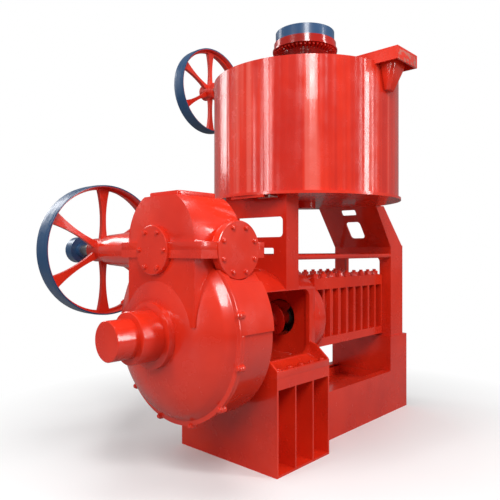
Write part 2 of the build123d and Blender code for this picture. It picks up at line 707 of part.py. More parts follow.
def bevel_blank(module, teeth, mate_teeth, face, back):
    """The cone under the bevel teeth, about Z with the apex at the origin."""
    radius = module * teeth / 2
    height = module * mate_teeth / 2
    cone = math.hypot(radius, height)
    shrink = (cone - face) / cone
    root = 1.2 * module
    outer = (radius - height / cone * root, height + radius / cone * root)
    inner = (outer[0] * shrink, outer[1] * shrink)
    top = outer[1] + back
    points = [(0, inner[1]), inner, outer, (outer[0], top), (0, top)]
    outline = Polyline(*[(r, 0, h) for r, h in points], close=True)
    return revolve(make_face(outline), axis=Axis.Z), outer, top


def bevel_gear(module, teeth, mate_teeth, face, first_angle, back):
    """A bevel gear about Z with the apex at the origin and its back upwards."""
    blank, _, _ = bevel_blank(module, teeth, mate_teeth, face, back)
    return blank + bevel_teeth(module, teeth, mate_teeth, face, first_angle)


def main_gear():
    """The big spur gear on the main shaft, with a web and a hub."""
    gear = spur_gear(SPUR_MODULE, MAIN_GEAR_TEETH, math.pi / 2, SPUR_FRONT_X, SPUR_REAR_X, MAIN_AXIS_Z)
    web = 18.0
    rim_inner = SPUR_MODULE * MAIN_GEAR_TEETH / 2 - 50
    hub = 95.0
    gear -= ring_x(rim_inner, hub, SPUR_FRONT_X - 1, SPUR_FRONT_X + (SPUR_WIDTH - web) / 2)
    gear -= ring_x(rim_inner, hub, SPUR_REAR_X - (SPUR_WIDTH - web) / 2, SPUR_REAR_X + 1)
    for n in range(6):
        angle = math.radians(60 * n + 30)
        gear -= rod_x(52, SPUR_FRONT_X, SPUR_REAR_X, 190 * math.cos(angle), MAIN_AXIS_Z + 190 * math.sin(angle))
    return gear - rod_x(MAIN_SHAFT_RADIUS + RUNNING_FIT, SPUR_FRONT_X - 1, SPUR_REAR_X + 1)


def main_shaft():
    """The stepped main shaft from the thrust nose to the rear bearing."""
    end = REAR_FRAME_END_X + 6
    return turned_x(
        [
            (MAIN_SHAFT_FRONT_X, 0),
            (MAIN_SHAFT_FRONT_X, MAIN_SHAFT_RADIUS - 4),
            (MAIN_SHAFT_FRONT_X + 4, MAIN_SHAFT_RADIUS),
            (end - 4, MAIN_SHAFT_RADIUS),
            (end, MAIN_SHAFT_RADIUS - 4),
            (end, 0),
        ]
    )


def thrust_collar():
    """The collar on the main shaft that takes the pressing thrust inside the nose."""
    return ring_x(COVER_RING_RADIUS - 75, MAIN_SHAFT_RADIUS + RUNNING_FIT, -1372, -1330)


def main_bushes():
    """The three bushes that carry the main shaft."""
    bore = MAIN_SHAFT_RADIUS + RUNNING_FIT
    front = ring_x(BUSH_RADIUS, bore, THRUST_FRONT_X + 6, THRUST_FRONT_X + 96)
    middle = ring_x(BUSH_RADIUS, bore, YOKE_FRONT_X - CASE_WALL + 1, YOKE_BODY_FRONT_X + YOKE_WALL - 1)
    cross = REAR_FRAME_END_X - REAR_CROSSBAR_LENGTH
    rear = ring_x(BUSH_RADIUS, bore, cross, REAR_FRAME_END_X + 4)
    return [front, middle, rear]


def cover_profile(inset):
    """The dished front cover's section, drawn in by a wall thickness, up to the seam."""
    z = MAIN_AXIS_Z
    ring = COVER_RING_RADIUS - inset
    start = (COVER_RING_REAR_X + inset, 0, z)
    rim = (COVER_RING_REAR_X + inset, 0, z + ring)
    middle = (COVER_MIDDLE_X + inset, 0, z + COVER_MIDDLE_RADIUS - inset / 2)
    shoulder = (COVER_SHOULDER_X + inset / 2, 0, z + COVER_SHOULDER_RADIUS - inset)
    corner = (CASE_SEAM_X, 0, z + CASE_RADIUS - inset)
    edges = [
        Line(start, rim),
        Spline(rim, middle, shoulder, corner, tangents=((0.35, 0, 1), (1, 0, 0.25))),
        Line(corner, (CASE_SEAM_X, 0, z)),
        Line((CASE_SEAM_X, 0, z), start),
    ]
    return Face(Wire(edges))


def dish(inset):
    """The solid that the front cover's section sweeps."""
    return revolve(cover_profile(inset), axis=Axis((0, 0, MAIN_AXIS_Z), (1, 0, 0)))


def box_room():
    """The room inside the gearbox, from the main axis up to the split."""
    half = BOX_HALF_WIDTH - CASE_WALL
    front, rear = BOX_FRONT_X + CASE_WALL, BOX_REAR_X - HOOD_WALL
    return block(front, rear, -half, half, MAIN_AXIS_Z + 150, DRIVE_AXIS_Z + 1)


def front_cover():
    """The dished front cover with its seat ring for the thrust housing."""
    cover = dish(0) - dish(CASE_WALL)
    cover += ring_x(COVER_RING_RADIUS, 110, COVER_RING_FRONT_X, COVER_RING_REAR_X + CASE_WALL)
    cover += ring_x(SEAM_RING_RADIUS, CASE_RADIUS - CASE_WALL, CASE_SEAM_X - SEAM_RING_LENGTH, CASE_SEAM_X)
    cover -= box_room()
    cover -= block(BOX_FRONT_X - 60, CASE_SEAM_X + 1, -BOX_HALF_WIDTH, BOX_HALF_WIDTH, DRIVE_AXIS_Z - 40, DRIVE_AXIS_Z + 99)
    cover -= rod_y(FLANGE_CAP_RADIUS + 2, -FLANGE_CAP_Y - 1, -BOX_HALF_WIDTH)
    return cover - rod_x(95, COVER_RING_FRONT_X - 1, COVER_RING_REAR_X + CASE_WALL + 1)


def seam_bolt_places():
    """The places of the seam bolts below the gearbox, as pairs of Y and Z."""
    circle = bolt_circle(SEAM_BOLTS, SEAM_BOLT_CIRCLE, 180 / SEAM_BOLTS)
    return [(y, MAIN_AXIS_Z + z) for y, z in circle if z < SEAM_BOLT_LIMIT]


def drum():
    """The gear case drum with its rear wall, before it is split."""
    shell = rod_x(CASE_RADIUS, CASE_SEAM_X, YOKE_FRONT_X)
    shell += rod_x(SEAM_RING_RADIUS, CASE_SEAM_X, CASE_SEAM_X + SEAM_RING_LENGTH)
    shell -= rod_x(CASE_RADIUS - CASE_WALL, CASE_SEAM_X - 1, YOKE_FRONT_X - CASE_WALL)
    return shell


def gear_case_lower():
    """The lower half of the drum with its split flange."""
    reach = 500.0
    case = drum() & block(CASE_SEAM_X, YOKE_FRONT_X, -reach, reach, MAIN_AXIS_Z - reach, MAIN_AXIS_Z)
    for side in (-1, 1):
        case += block(
            CASE_SEAM_X, YOKE_FRONT_X, side * (CASE_RADIUS - CASE_WALL), side * SEAM_RING_RADIUS, MAIN_AXIS_Z - 16, MAIN_AXIS_Z
        )
    return case - rod_x(BUSH_RADIUS + RUNNING_FIT, CASE_SEAM_X, YOKE_FRONT_X + 1)


def gear_case_upper():
    """The upper half of the drum, grown into the lower half of the bevel gearbox."""
    reach = 500.0
    case = drum() & block(CASE_SEAM_X, YOKE_FRONT_X, -reach, reach, MAIN_AXIS_Z, MAIN_AXIS_Z + reach)
    for side in (-1, 1):
        case += block(
            CASE_SEAM_X, YOKE_FRONT_X, side * (CASE_RADIUS - CASE_WALL), side * SEAM_RING_RADIUS, MAIN_AXIS_Z, MAIN_AXIS_Z + 22
        )
    box = block(BOX_FRONT_X, BOX_REAR_X, -BOX_HALF_WIDTH, BOX_HALF_WIDTH, MAIN_AXIS_Z + 60, DRIVE_AXIS_Z)
    box += split_flanges(-1)
    box -= rod_x(CASE_RADIUS - CASE_WALL, CASE_SEAM_X - 1, BOX_REAR_X + 1)
    box -= Pos(-SEAT_GAP, 0, 0) * dish(-SEAT_GAP)
    box -= rod_x(SEAM_RING_RADIUS + SEAT_GAP, CASE_SEAM_X - SEAM_RING_LENGTH - SEAT_GAP, CASE_SEAM_X)
    case += box
    case -= box_room()
    case += housings(-1)
    case -= rod_y(FLANGE_CAP_RADIUS + 2, -FLANGE_CAP_Y - 50, -FLANGE_CAP_Y + FLANGE_CAP_THICKNESS)
    case -= bearing_bores()
    case -= block(CASE_SEAM_X, BOX_REAR_X, -reach, reach, DRIVE_AXIS_Z, DRIVE_AXIS_Z + reach)
    return case - rod_x(BUSH_RADIUS + RUNNING_FIT, CASE_SEAM_X, YOKE_FRONT_X + 1)


def split_flanges(direction):
    """The two long flanges at the split of the gearbox, below it or above it."""
    z = DRIVE_AXIS_Z
    edge = z + direction * SPLIT_FLANGE
    inner = BOX_HALF_WIDTH - CASE_WALL
    near = block(BOX_FRONT_X, SPLIT_FLANGE_REAR_X, -SPLIT_FLANGE_Y, -inner, z, edge)
    near -= rod_y(FLANGE_CAP_RADIUS + 1, -FLANGE_CAP_Y - 1, -FLANGE_CAP_Y + FLANGE_CAP_THICKNESS)
    far = block(BOX_FRONT_X, BOX_REAR_X, inner, BOX_HALF_WIDTH + 45, z, edge)
    return near + far


def housings(direction):
    """The half housings of the drive shaft's near and far bearings and of the counter shaft."""
    cap_seat = FLANGE_CAP_Y - FLANGE_CAP_THICKNESS
    near = rod_y(HOUSING_RADIUS, -cap_seat, -BOX_HALF_WIDTH + 60)
    near += rod_y(FLANGE_CAP_RADIUS, -cap_seat, -cap_seat + 26)
    far = rod_y(HOUSING_RADIUS, BOX_HALF_WIDTH - 60, BOX_HALF_WIDTH + 45)
    whole = near + far
    if direction < 0:
        whole -= dish(-SEAT_GAP)
        whole -= rod_x(SEAM_RING_RADIUS + SEAT_GAP, CASE_SEAM_X - SEAM_RING_LENGTH - SEAT_GAP, CASE_SEAM_X)
    whole += rod_x(FRONT_CAP_RADIUS - 8, BOX_FRONT_X + CASE_WALL, BOX_FRONT_X + 75, 0, DRIVE_AXIS_Z)
    reach = 400.0
    z = DRIVE_AXIS_Z
    return whole & block(BOX_FRONT_X - 1, BOX_REAR_X + reach, -reach, reach, z, z + direction * reach)


def bearing_bores():
    """The bores for the gearbox bearings."""
    near = rod_y(70, -SPLIT_FLANGE_Y - 1, -BOX_HALF_WIDTH + 61)
    far = rod_y(70, BOX_HALF_WIDTH - 61, BOX_HALF_WIDTH + 46)
    front = rod_x(62, BOX_FRONT_X - 1, BOX_FRONT_X + 76, 0, DRIVE_AXIS_Z)
    return near + far + front


def gearbox_hood():
    """The arched hood over the bevel gears, cut flat on top for the lid."""
    outer = rod_x(HOOD_RADIUS, BOX_FRONT_X, BOX_REAR_X, 0, HOOD_CENTRE_Z)
    inner = rod_x(HOOD_RADIUS - HOOD_WALL, BOX_FRONT_X + HOOD_WALL, BOX_REAR_X - HOOD_WALL, 0, HOOD_CENTRE_Z)
    hood = outer + split_flanges(1)
    hood -= inner
    hood += housings(1)
    hood -= bearing_bores()
    reach = 500.0
    hood &= block(BOX_FRONT_X - 1, SPLIT_FLANGE_REAR_X, -reach, reach, DRIVE_AXIS_Z, HOOD_TOP_Z)
    middle = (BOX_FRONT_X + BOX_REAR_X) / 2
    return hood - block(middle - 80, middle + 80, -50, 50, HOOD_TOP_Z - 40, HOOD_TOP_Z + 1)


def hood_lid():
    """The flat inspection lid on the hood."""
    middle = (BOX_FRONT_X + BOX_REAR_X) / 2
    lid = block(
        middle - LID_LENGTH / 2, middle + LID_LENGTH / 2, -LID_WIDTH / 2, LID_WIDTH / 2, HOOD_TOP_Z, HOOD_TOP_Z + LID_THICKNESS
    )
    return fillet(lid.edges().filter_by(Axis.Z), 12)


def flange_cap():
    """The round cap over the drive shaft's near bearing, with its bolt holes."""
    seat = -FLANGE_CAP_Y + FLANGE_CAP_THICKNESS
    cap = turned_y(
        [
            (seat, 0),
            (seat, FLANGE_CAP_RADIUS),
            (-FLANGE_CAP_Y + 3, FLANGE_CAP_RADIUS),
            (-FLANGE_CAP_Y, FLANGE_CAP_RADIUS - 3),
            (-FLANGE_CAP_Y, 0),
        ]
    )
    for x, z in bolt_circle(FLANGE_CAP_BOLTS, FLANGE_CAP_BOLT_CIRCLE, 22.5):
        cap -= rod_y(7, -FLANGE_CAP_Y - 1, seat + 1, DRIVE_AXIS_X + x, DRIVE_AXIS_Z + z)
    return cap


def bolt_circle(count, radius, first):
    """The places of a bolt circle as pairs of offsets."""
    angles = [math.radians(first + 360 * n / count) for n in range(count)]
    return [(radius * math.cos(a), radius * math.sin(a)) for a in angles]


def front_bearing_cap():
    """The round cap over the counter shaft's bearing on the gearbox front."""
    front = BOX_FRONT_X - FRONT_CAP_THICKNESS
    cap = turned_x(
        [
            (BOX_FRONT_X, 0),
            (BOX_FRONT_X, FRONT_CAP_RADIUS),
            (front + 4, FRONT_CAP_RADIUS),
            (front, FRONT_CAP_RADIUS - 4),
            (front, 0),
        ],
        DRIVE_AXIS_Z,
    )
    for y, z in bolt_circle(FRONT_CAP_BOLTS, FRONT_CAP_BOLT_CIRCLE, 0):
        cap -= rod_x(6.5, front - 1, BOX_FRONT_X + 1, y, DRIVE_AXIS_Z + z)
    return cap


def cap_bolts():
    """The bolts of the flange cap and of the front bearing cap."""
    bolts = []
    for x, z in bolt_circle(FLANGE_CAP_BOLTS, FLANGE_CAP_BOLT_CIRCLE, 22.5):
        shape = bolt(20, 9, 6, FLANGE_CAP_THICKNESS - 1)
        bolts.append(toward_minus_y(shape, DRIVE_AXIS_X + x, -FLANGE_CAP_Y, DRIVE_AXIS_Z + z))
    for y, z in bolt_circle(FRONT_CAP_BOLTS, FRONT_CAP_BOLT_CIRCLE, 0):
        shape = bolt(18, 8, 5.5, FRONT_CAP_THICKNESS - 1)
        bolts.append(toward_minus_x(shape, BOX_FRONT_X - FRONT_CAP_THICKNESS, y, DRIVE_AXIS_Z + z))
    return bolts


def bearing_sleeve():
    """The long sleeve that carries the drive shaft out to its pulley."""
    seat = BOX_HALF_WIDTH + 45
    bore = DRIVE_SHAFT_RADIUS + 8
    return turned_y(
        [
            (seat, bore),
            (seat, SLEEVE_FLANGE_RADIUS),
            (seat + 22, SLEEVE_FLANGE_RADIUS),
            (seat + 26, SLEEVE_FLANGE_RADIUS - 14),
            (SLEEVE_CONE_END_Y, SLEEVE_RADIUS + 8),
            (SLEEVE_CONE_END_Y + 40, SLEEVE_RADIUS),
            (SLEEVE_END_Y - 60, SLEEVE_RADIUS),
            (SLEEVE_END_Y - 56, SLEEVE_RADIUS + 8),
            (SLEEVE_END_Y, SLEEVE_RADIUS + 8),
            (SLEEVE_END_Y, bore),
        ]
    )


def drive_bearings():
    """The bearings of the drive shaft: two in the gearbox and one in the sleeve's end."""
    bore = DRIVE_SHAFT_RADIUS + RUNNING_FIT
    seat = FLANGE_CAP_Y - FLANGE_CAP_THICKNESS
    near = rod_y(70 - RUNNING_FIT, -seat + 2, -seat + 52) - rod_y(bore, -seat, -seat + 53)
    start = BOX_HALF_WIDTH - 20
    far = rod_y(70 - RUNNING_FIT, start, start + 50) - rod_y(bore, start - 1, start + 51)
    outer = DRIVE_SHAFT_RADIUS + 8 - RUNNING_FIT
    end = rod_y(outer, SLEEVE_END_Y - 60, SLEEVE_END_Y) - rod_y(bore, SLEEVE_END_Y - 61, SLEEVE_END_Y + 1)
    return [near, far, end]


def counter_bearings():
    """The two bearings of the counter shaft, side by side in the front housing."""
    pair = []
    for start in (BOX_FRONT_X + 3, BOX_FRONT_X + 40):
        pair.append(ring_x(62 - RUNNING_FIT, 30 + RUNNING_FIT, start, start + 32, 0, DRIVE_AXIS_Z))
    return pair


def thrust_housing():
    """The round housing of the thrust bearing in front of the cover's seat ring."""
    bore = BUSH_RADIUS + RUNNING_FIT
    return turned_x(
        [
            (THRUST_FRONT_X, bore),
            (THRUST_FRONT_X, THRUST_RADIUS - 4),
            (THRUST_FRONT_X + 4, THRUST_RADIUS),
            (COVER_RING_FRONT_X, THRUST_RADIUS),
            (COVER_RING_FRONT_X, 94.7),
            (COVER_RING_FRONT_X + 40, 94.7),
            (COVER_RING_FRONT_X + 40, 92),
            (COVER_RING_FRONT_X, 92),
            (COVER_RING_FRONT_X, bore),
        ]
    )


def nose_cap():
    """The closed cap over the front end of the main shaft."""
    return turned_x(
        [
            (NOSE_FRONT_X, 0),
            (NOSE_FRONT_X, NOSE_RADIUS - 3),
            (NOSE_FRONT_X + 3, NOSE_RADIUS),
            (THRUST_FRONT_X, NOSE_RADIUS),
            (THRUST_FRONT_X, MAIN_SHAFT_RADIUS + 6),
            (MAIN_SHAFT_FRONT_X - 8, MAIN_SHAFT_RADIUS + 6),
            (MAIN_SHAFT_FRONT_X - 8, 0),
        ]
    )


def case_bolts():
    """The bolts round the front cover's seam, in its seam ring."""
    front = CASE_SEAM_X - SEAM_RING_LENGTH
    return [toward_minus_x(hexagon(22, 10), front, y, z) for y, z in seam_bolt_places()]


def counter_shaft():
    """The short counter shaft behind the front bearing cap."""
    return rod_x(30, BOX_FRONT_X + 1, DRIVE_AXIS_X - BEVEL_PINION_RADIUS + 8, 0, DRIVE_AXIS_Z)


def spur_pinion():
    """The pinion on the counter shaft that turns the main gear."""
    gap = -math.pi / 2 + math.pi / SPUR_PINION_TEETH
    gear = spur_gear(SPUR_MODULE, SPUR_PINION_TEETH, gap, SPUR_FRONT_X, SPUR_REAR_X, DRIVE_AXIS_Z)
    return gear - rod_x(30 + RUNNING_FIT, SPUR_FRONT_X - 1, SPUR_REAR_X + 1, 0, DRIVE_AXIS_Z)


def bevel_wheel():
    """The bevel wheel on the counter shaft, its teeth towards the drive shaft."""
    gear = bevel_gear(BEVEL_MODULE, BEVEL_WHEEL_TEETH, BEVEL_PINION_TEETH, BEVEL_FACE, 90, 8)
    gear -= Cylinder(30 + RUNNING_FIT, 400)
    return Pos(DRIVE_AXIS_X, 0, DRIVE_AXIS_Z) * Rot(0, -90, 0) * gear


def drive_pinion():
    """The bevel pinion on the drive shaft, on the near side of the counter shaft."""
    first = 360.0 / BEVEL_PINION_TEETH / 2
    gear = bevel_gear(BEVEL_MODULE, BEVEL_PINION_TEETH, BEVEL_WHEEL_TEETH, BEVEL_FACE, 180 + first, 30)
    gear -= Cylinder(DRIVE_SHAFT_RADIUS + RUNNING_FIT, 900)
    return Pos(DRIVE_AXIS_X, 0, DRIVE_AXIS_Z) * Rot(90, 0, 0) * gear


def drive_shaft():
    """The drive shaft from the near bearing cap to the take-off pulley."""
    start = -FLANGE_CAP_Y + FLANGE_CAP_THICKNESS + 4
    return turned_y(
        [
            (start, 0),
            (start, DRIVE_SHAFT_RADIUS),
            (DRIVE_SHAFT_END_Y - 3, DRIVE_SHAFT_RADIUS),
            (DRIVE_SHAFT_END_Y, DRIVE_SHAFT_RADIUS - 3),
            (DRIVE_SHAFT_END_Y, 0),
        ]
    )


def spoked_pulley(radius, width, hub, bore, y, x, z, spoke):
    """A belt pulley with a rim, a hub and flared spokes."""
    inner = radius - RIM_THICKNESS
    half = width / 2
    rim = turned_y(
        [
            (y - half, radius - 2),
            (y - half / 2, radius),
            (y + half / 2, radius),
            (y + half, radius - 2),
            (y + half, inner + 4),
            (y + 12, inner),
            (y + 12, inner - 12),
            (y - 12, inner - 12),
            (y - 12, inner),
            (y - half, inner + 4),
        ],
        x,
        z,
    )
    wheel = rim + rod_y(hub, y - half - 12, y + half + 12, x, z)
    reach = inner - 6
    waist = (hub + reach) / 2
    for n in range(SPOKE_COUNT):
        edges = [
            Line((-spoke * 0.62, 0, hub - 8), (spoke * 0.62, 0, hub - 8)),
            Spline((spoke * 0.62, 0, hub - 8), (spoke * 0.4, 0, waist), (spoke * 1.05, 0, reach)),
            Line((spoke * 1.05, 0, reach), (-spoke * 1.05, 0, reach)),
            Spline((-spoke * 1.05, 0, reach), (-spoke * 0.4, 0, waist), (-spoke * 0.62, 0, hub - 8)),
        ]
        arm = extrude(Face(Wire(edges)), amount=14, dir=(0, 1, 0), both=True)
        wheel += Pos(x, y, z) * Rot(0, 360 * n / SPOKE_COUNT, 0) * arm
    return wheel - rod_y(bore + RUNNING_FIT, y - half - 13, y + half + 13, x, z)


def takeoff_pulley():
    """The small pulley on the drive shaft's end, which drives the kettle."""
    half = TAKEOFF_WIDTH / 2
    wheel = turned_y(
        [
            (TAKEOFF_Y - half, 46),
            (TAKEOFF_Y - half, TAKEOFF_RADIUS),
            (TAKEOFF_Y + half, TAKEOFF_RADIUS),
            (TAKEOFF_Y + half, TAKEOFF_RADIUS - 14),
            (TAKEOFF_Y + half - 16, TAKEOFF_RADIUS - 18),
            (TAKEOFF_Y + half - 16, 46),
            (TAKEOFF_Y + half - 2, 46),
            (TAKEOFF_Y + half - 2, DRIVE_SHAFT_RADIUS + RUNNING_FIT),
            (TAKEOFF_Y - half - 24, DRIVE_SHAFT_RADIUS + RUNNING_FIT),
            (TAKEOFF_Y - half - 24, 46),
        ]
    )
    return wheel


def kettle_shell():
    """The kettle's side wall, notched for the beam."""
    shell = rod_z(KETTLE_RADIUS, KETTLE_FLOOR_Z + KETTLE_FLOOR, KETTLE_TOP_Z)
    shell -= rod_z(KETTLE_INNER_RADIUS, KETTLE_FLOOR_Z, KETTLE_TOP_Z + 1)
    half = BEAM_WIDTH / 2 + 1
    shell -= block(
        KETTLE_X - half, KETTLE_X + half, -KETTLE_RADIUS - 9, KETTLE_RADIUS + 9, BEAM_TOP_Z - BEAM_DEPTH, KETTLE_TOP_Z + 1
    )
    angle = math.radians(-62)
    x = KETTLE_X + KETTLE_RADIUS * math.cos(angle)
    y = KETTLE_RADIUS * math.sin(angle)
    z = KETTLE_FLOOR_Z + 62
    shell -= Pos(x, y, z) * Rot(0, 0, math.degrees(angle)) * Rot(0, 90, 0) * Cylinder(PORT_RADIUS, 60)
    return shell


def kettle_floor():
    """The kettle's floor plate with its lip, the stirrer's foot bore and the outlet."""
    floor = rod_z(KETTLE_RADIUS + KETTLE_LIP, KETTLE_FLOOR_Z, KETTLE_FLOOR_Z + KETTLE_FLOOR)
    floor -= rod_z(STIRRER_SHAFT_RADIUS + RUNNING_FIT, KETTLE_FLOOR_Z - 1, KETTLE_FLOOR_Z + KETTLE_FLOOR + 1)
    half = OUTLET_LENGTH / 2
    return floor - window_z(
        OUTLET_X - half, OUTLET_X + half, OUTLET_WIDTH / 2, 10, KETTLE_FLOOR_Z - 1, KETTLE_FLOOR_Z + KETTLE_FLOOR + 1
    )


def gate_guide():
    """The two rails under the floor that the outlet gate slides in."""
    rails = []
    top = KETTLE_FLOOR_Z
    for side in (-1, 1):
        x = OUTLET_X + side * (OUTLET_LENGTH / 2 + 12)
        rail = block(x - 7, x + 7, -GATE_RAIL_FRONT, GATE_RAIL_REAR, top - GATE_THICKNESS - 8, top)
        rail -= block(x - side * 8, x, -GATE_RAIL_FRONT - 1, GATE_RAIL_REAR + 1, top - GATE_THICKNESS - 1, top + 1)
        rails.append(rail)
    return rails


def outlet_gate():
    """The sliding gate under the kettle's outlet, with its pull handle."""
    half = OUTLET_LENGTH / 2 + 12 - 1
    top = KETTLE_FLOOR_Z - SEAT_GAP
    bottom = KETTLE_FLOOR_Z - GATE_THICKNESS
    lap = OUTLET_WIDTH / 2 + GATE_LAP
    gate = block(OUTLET_X - half, OUTLET_X + half, -lap - 20, lap, bottom, top)
    gate += rod_y(GATE_ROD_RADIUS, -190, -80, OUTLET_X, bottom - 3)
    gate += rod_x(GATE_ROD_RADIUS + 1, OUTLET_X - 34, OUTLET_X + 34, -190, bottom - 3)
    return gate


def front_leg():
    """The front leg frame: a flanged web with a window and a slot, standing on the yoke."""
    x0, x1 = FRONT_LEG_X, FRONT_LEG_X + FRONT_LEG_DEPTH
    half = LEG_HALF_WIDTH
    bottom = YOKE_SHOULDER_Z
    leg = block(x0, x0 + PLATE, -half, half, bottom, KETTLE_FLOOR_Z)
    for side in (-1, 1):
        leg += block(x0, x1, side * (half - PLATE), side * half, bottom, KETTLE_FLOOR_Z)
    leg += block(x0, x1, -half, half, KETTLE_FLOOR_Z - PLATE, KETTLE_FLOOR_Z)
    leg -= window_x(-215, 215, 1255, 1372, 25, x0 - 1, x0 + PLATE + 1)
    leg -= window_x(-148, 148, 1150, 1192, 10, x0 - 1, x0 + PLATE + 1)
    saddle = Pos(0, 0, SEAT_GAP) * extrude(yoke_profile(0), amount=900, dir=(1, 0, 0))
    return leg - saddle


def rear_leg():
    """The rear leg frame, which leans back down to the rear post."""
    top, bottom = KETTLE_FLOOR_Z, REAR_FRAME_TOP_Z
    x0, x1 = REAR_LEG_TOP_X, REAR_LEG_TOP_X + REAR_LEG_TOP_DEPTH
    foot0, foot1 = REAR_FRAME_X, REAR_FRAME_END_X
    half = LEG_HALF_WIDTH
    side_shape = [(x0, top), (x1, top), (foot1, bottom), (foot0, bottom)]
    web = [(x0, top), (x0 + 15, top), (foot0 + 15, bottom), (foot0, bottom)]
    leg = plate_xz(web, -half, half)
    for side in (-1, 1):
        near, far = sorted((side * (half - PLATE), side * half))
        leg += plate_xz(side_shape, near, far)
    leg += block(foot0, foot1, -half, half, bottom, bottom + PLATE)
    leg -= window_x(-61, 61, 1269, 1387, 22, x0 - 60, foot1)
    leg -= window_x(-61, 61, 1436, 1472, 10, x0 - 60, foot1)
    return leg


def tie_rods():
    """The two rods that tie the front leg to the rear post."""
    start = FRONT_LEG_X + FRONT_LEG_DEPTH
    rods = []
    for side in (-1, 1):
        y = side * (LEG_HALF_WIDTH - TIE_ROD_RADIUS)
        rods.append(rod_x(TIE_ROD_RADIUS, start, REAR_FRAME_X, y, TIE_ROD_Z))
    return rods


def top_beam():
    """The wide inverted channel across the kettle."""
    half = BEAM_WIDTH / 2
    beam = block(KETTLE_X - half, KETTLE_X + half, -BEAM_HALF_LENGTH, BEAM_HALF_LENGTH, BEAM_TOP_Z - BEAM_PLATE, BEAM_TOP_Z)
    for side in (-1, 1):
        edge = KETTLE_X + side * half
        beam += block(edge, edge - side * BEAM_PLATE, -BEAM_HALF_LENGTH, BEAM_HALF_LENGTH, BEAM_TOP_Z - BEAM_DEPTH, BEAM_TOP_Z)
    beam -= rod_z(52, BEAM_TOP_Z - BEAM_PLATE - 1, BEAM_TOP_Z + 1)
    return beam


def beam_bracket(side):
    """The round-ended plate that hangs from the beam's end against the kettle."""
    y0, y1 = sorted((side * (KETTLE_RADIUS + SEAT_GAP), side * (KETTLE_RADIUS + 10)))
    width = 92.0
    plate = block(KETTLE_X - width / 2, KETTLE_X + width / 2, y0, y1, 2090, BEAM_TOP_Z - BEAM_PLATE)
    plate += rod_y(width / 2, y0, y1, KETTLE_X, 2090)
    for offset in (-70, 70):
        shape = [
            (side * (KETTLE_RADIUS + SEAT_GAP + 2), 2180),
            (side * BEAM_HALF_LENGTH, BEAM_TOP_Z - BEAM_PLATE - 18),
            (side * BEAM_HALF_LENGTH, BEAM_TOP_Z - BEAM_PLATE),
            (side * (KETTLE_RADIUS + SEAT_GAP + 2), BEAM_TOP_Z - BEAM_PLATE),
        ]
        plate += plate_yz(shape, KETTLE_X + offset - 5, KETTLE_X + offset + 5)
    plate += block(KETTLE_X - 75, KETTLE_X + 75, y0, y1, 2200, BEAM_TOP_Z - BEAM_PLATE)
    return plate


def shaft_bearings():
    """The two pillow blocks of the kettle's cross shaft on the beam."""
    blocks = []
    for y in (300.0, 670.0):
        foot = block(KETTLE_X - 95, KETTLE_X + 95, y - 30, y + 30, BEAM_TOP_Z, BEAM_TOP_Z + 24)
        body = rod_y(58, y - 26, y + 26, KETTLE_X, CROSS_AXIS_Z)
        neck = block(KETTLE_X - 58, KETTLE_X + 58, y - 26, y + 26, BEAM_TOP_Z + 20, CROSS_AXIS_Z)
        bore = rod_y(CROSS_SHAFT_RADIUS + RUNNING_FIT, y - 31, y + 31, KETTLE_X, CROSS_AXIS_Z)
        blocks.append(foot + body + neck - bore)
    return blocks


def cross_shaft():
    """The kettle's cross shaft, from the bevel pinion to its pulley."""
    return rod_y(CROSS_SHAFT_RADIUS, 120, CROSS_SHAFT_END_Y, KETTLE_X, CROSS_AXIS_Z)


def crown_pinion():
    """The bevel pinion on the cross shaft, under the crown wheel."""
    first = 360.0 / CROWN_PINION_TEETH / 2
    gear = bevel_gear(CROWN_MODULE, CROWN_PINION_TEETH, CROWN_TEETH, CROWN_FACE, 270 + first, 26)
    gear -= Cylinder(CROSS_SHAFT_RADIUS + RUNNING_FIT, 900)
    return Pos(KETTLE_X, 0, CROSS_AXIS_Z) * Rot(-90, 0, 0) * gear


def crown_wheel():
    """The crown wheel with its grooved rim, teeth downwards, on the stirrer shaft."""
    _, outer, top = bevel_blank(CROWN_MODULE, CROWN_TEETH, CROWN_PINION_TEETH, CROWN_FACE, 6)
    gear = bevel_gear(CROWN_MODULE, CROWN_TEETH, CROWN_PINION_TEETH, CROWN_FACE, 90, 6)
    base = DRUM_BOTTOM_Z - CROSS_AXIS_Z
    gear += Pos(0, 0, (outer[1] + top + 4) / 2) * Cylinder(CROWN_RIM_RADIUS, top + 4 - outer[1])
    gear += Pos(0, 0, (top + base) / 2) * Cylinder(CROWN_GROOVE_RADIUS, base - top)
    gear -= Pos(0, 0, (top + 12 + base) / 2) * (Cylinder(CROWN_GROOVE_RADIUS - 14, base - top - 12 + 2) - Cylinder(75, 200))
    gear -= Cylinder(STIRRER_SHAFT_RADIUS + RUNNING_FIT, 900)
    return Pos(KETTLE_X, 0, CROSS_AXIS_Z) * gear


def drum_ring():
    """The flat drum on top of the crown wheel."""
    ring = rod_z(DRUM_RADIUS, DRUM_BOTTOM_Z, DRUM_TOP_Z) - rod_z(DRUM_RADIUS - 14, DRUM_BOTTOM_Z + 12, DRUM_TOP_Z + 1)
    ring -= rod_z(STIRRER_SHAFT_RADIUS + RUNNING_FIT, DRUM_BOTTOM_Z - 1, DRUM_TOP_Z + 1)
    return ring


def stirrer_shaft():
    """The upright stirrer shaft from the kettle floor to the drum."""
    return rod_z(STIRRER_SHAFT_RADIUS, KETTLE_FLOOR_Z - 14, DRUM_BOTTOM_Z + 44)


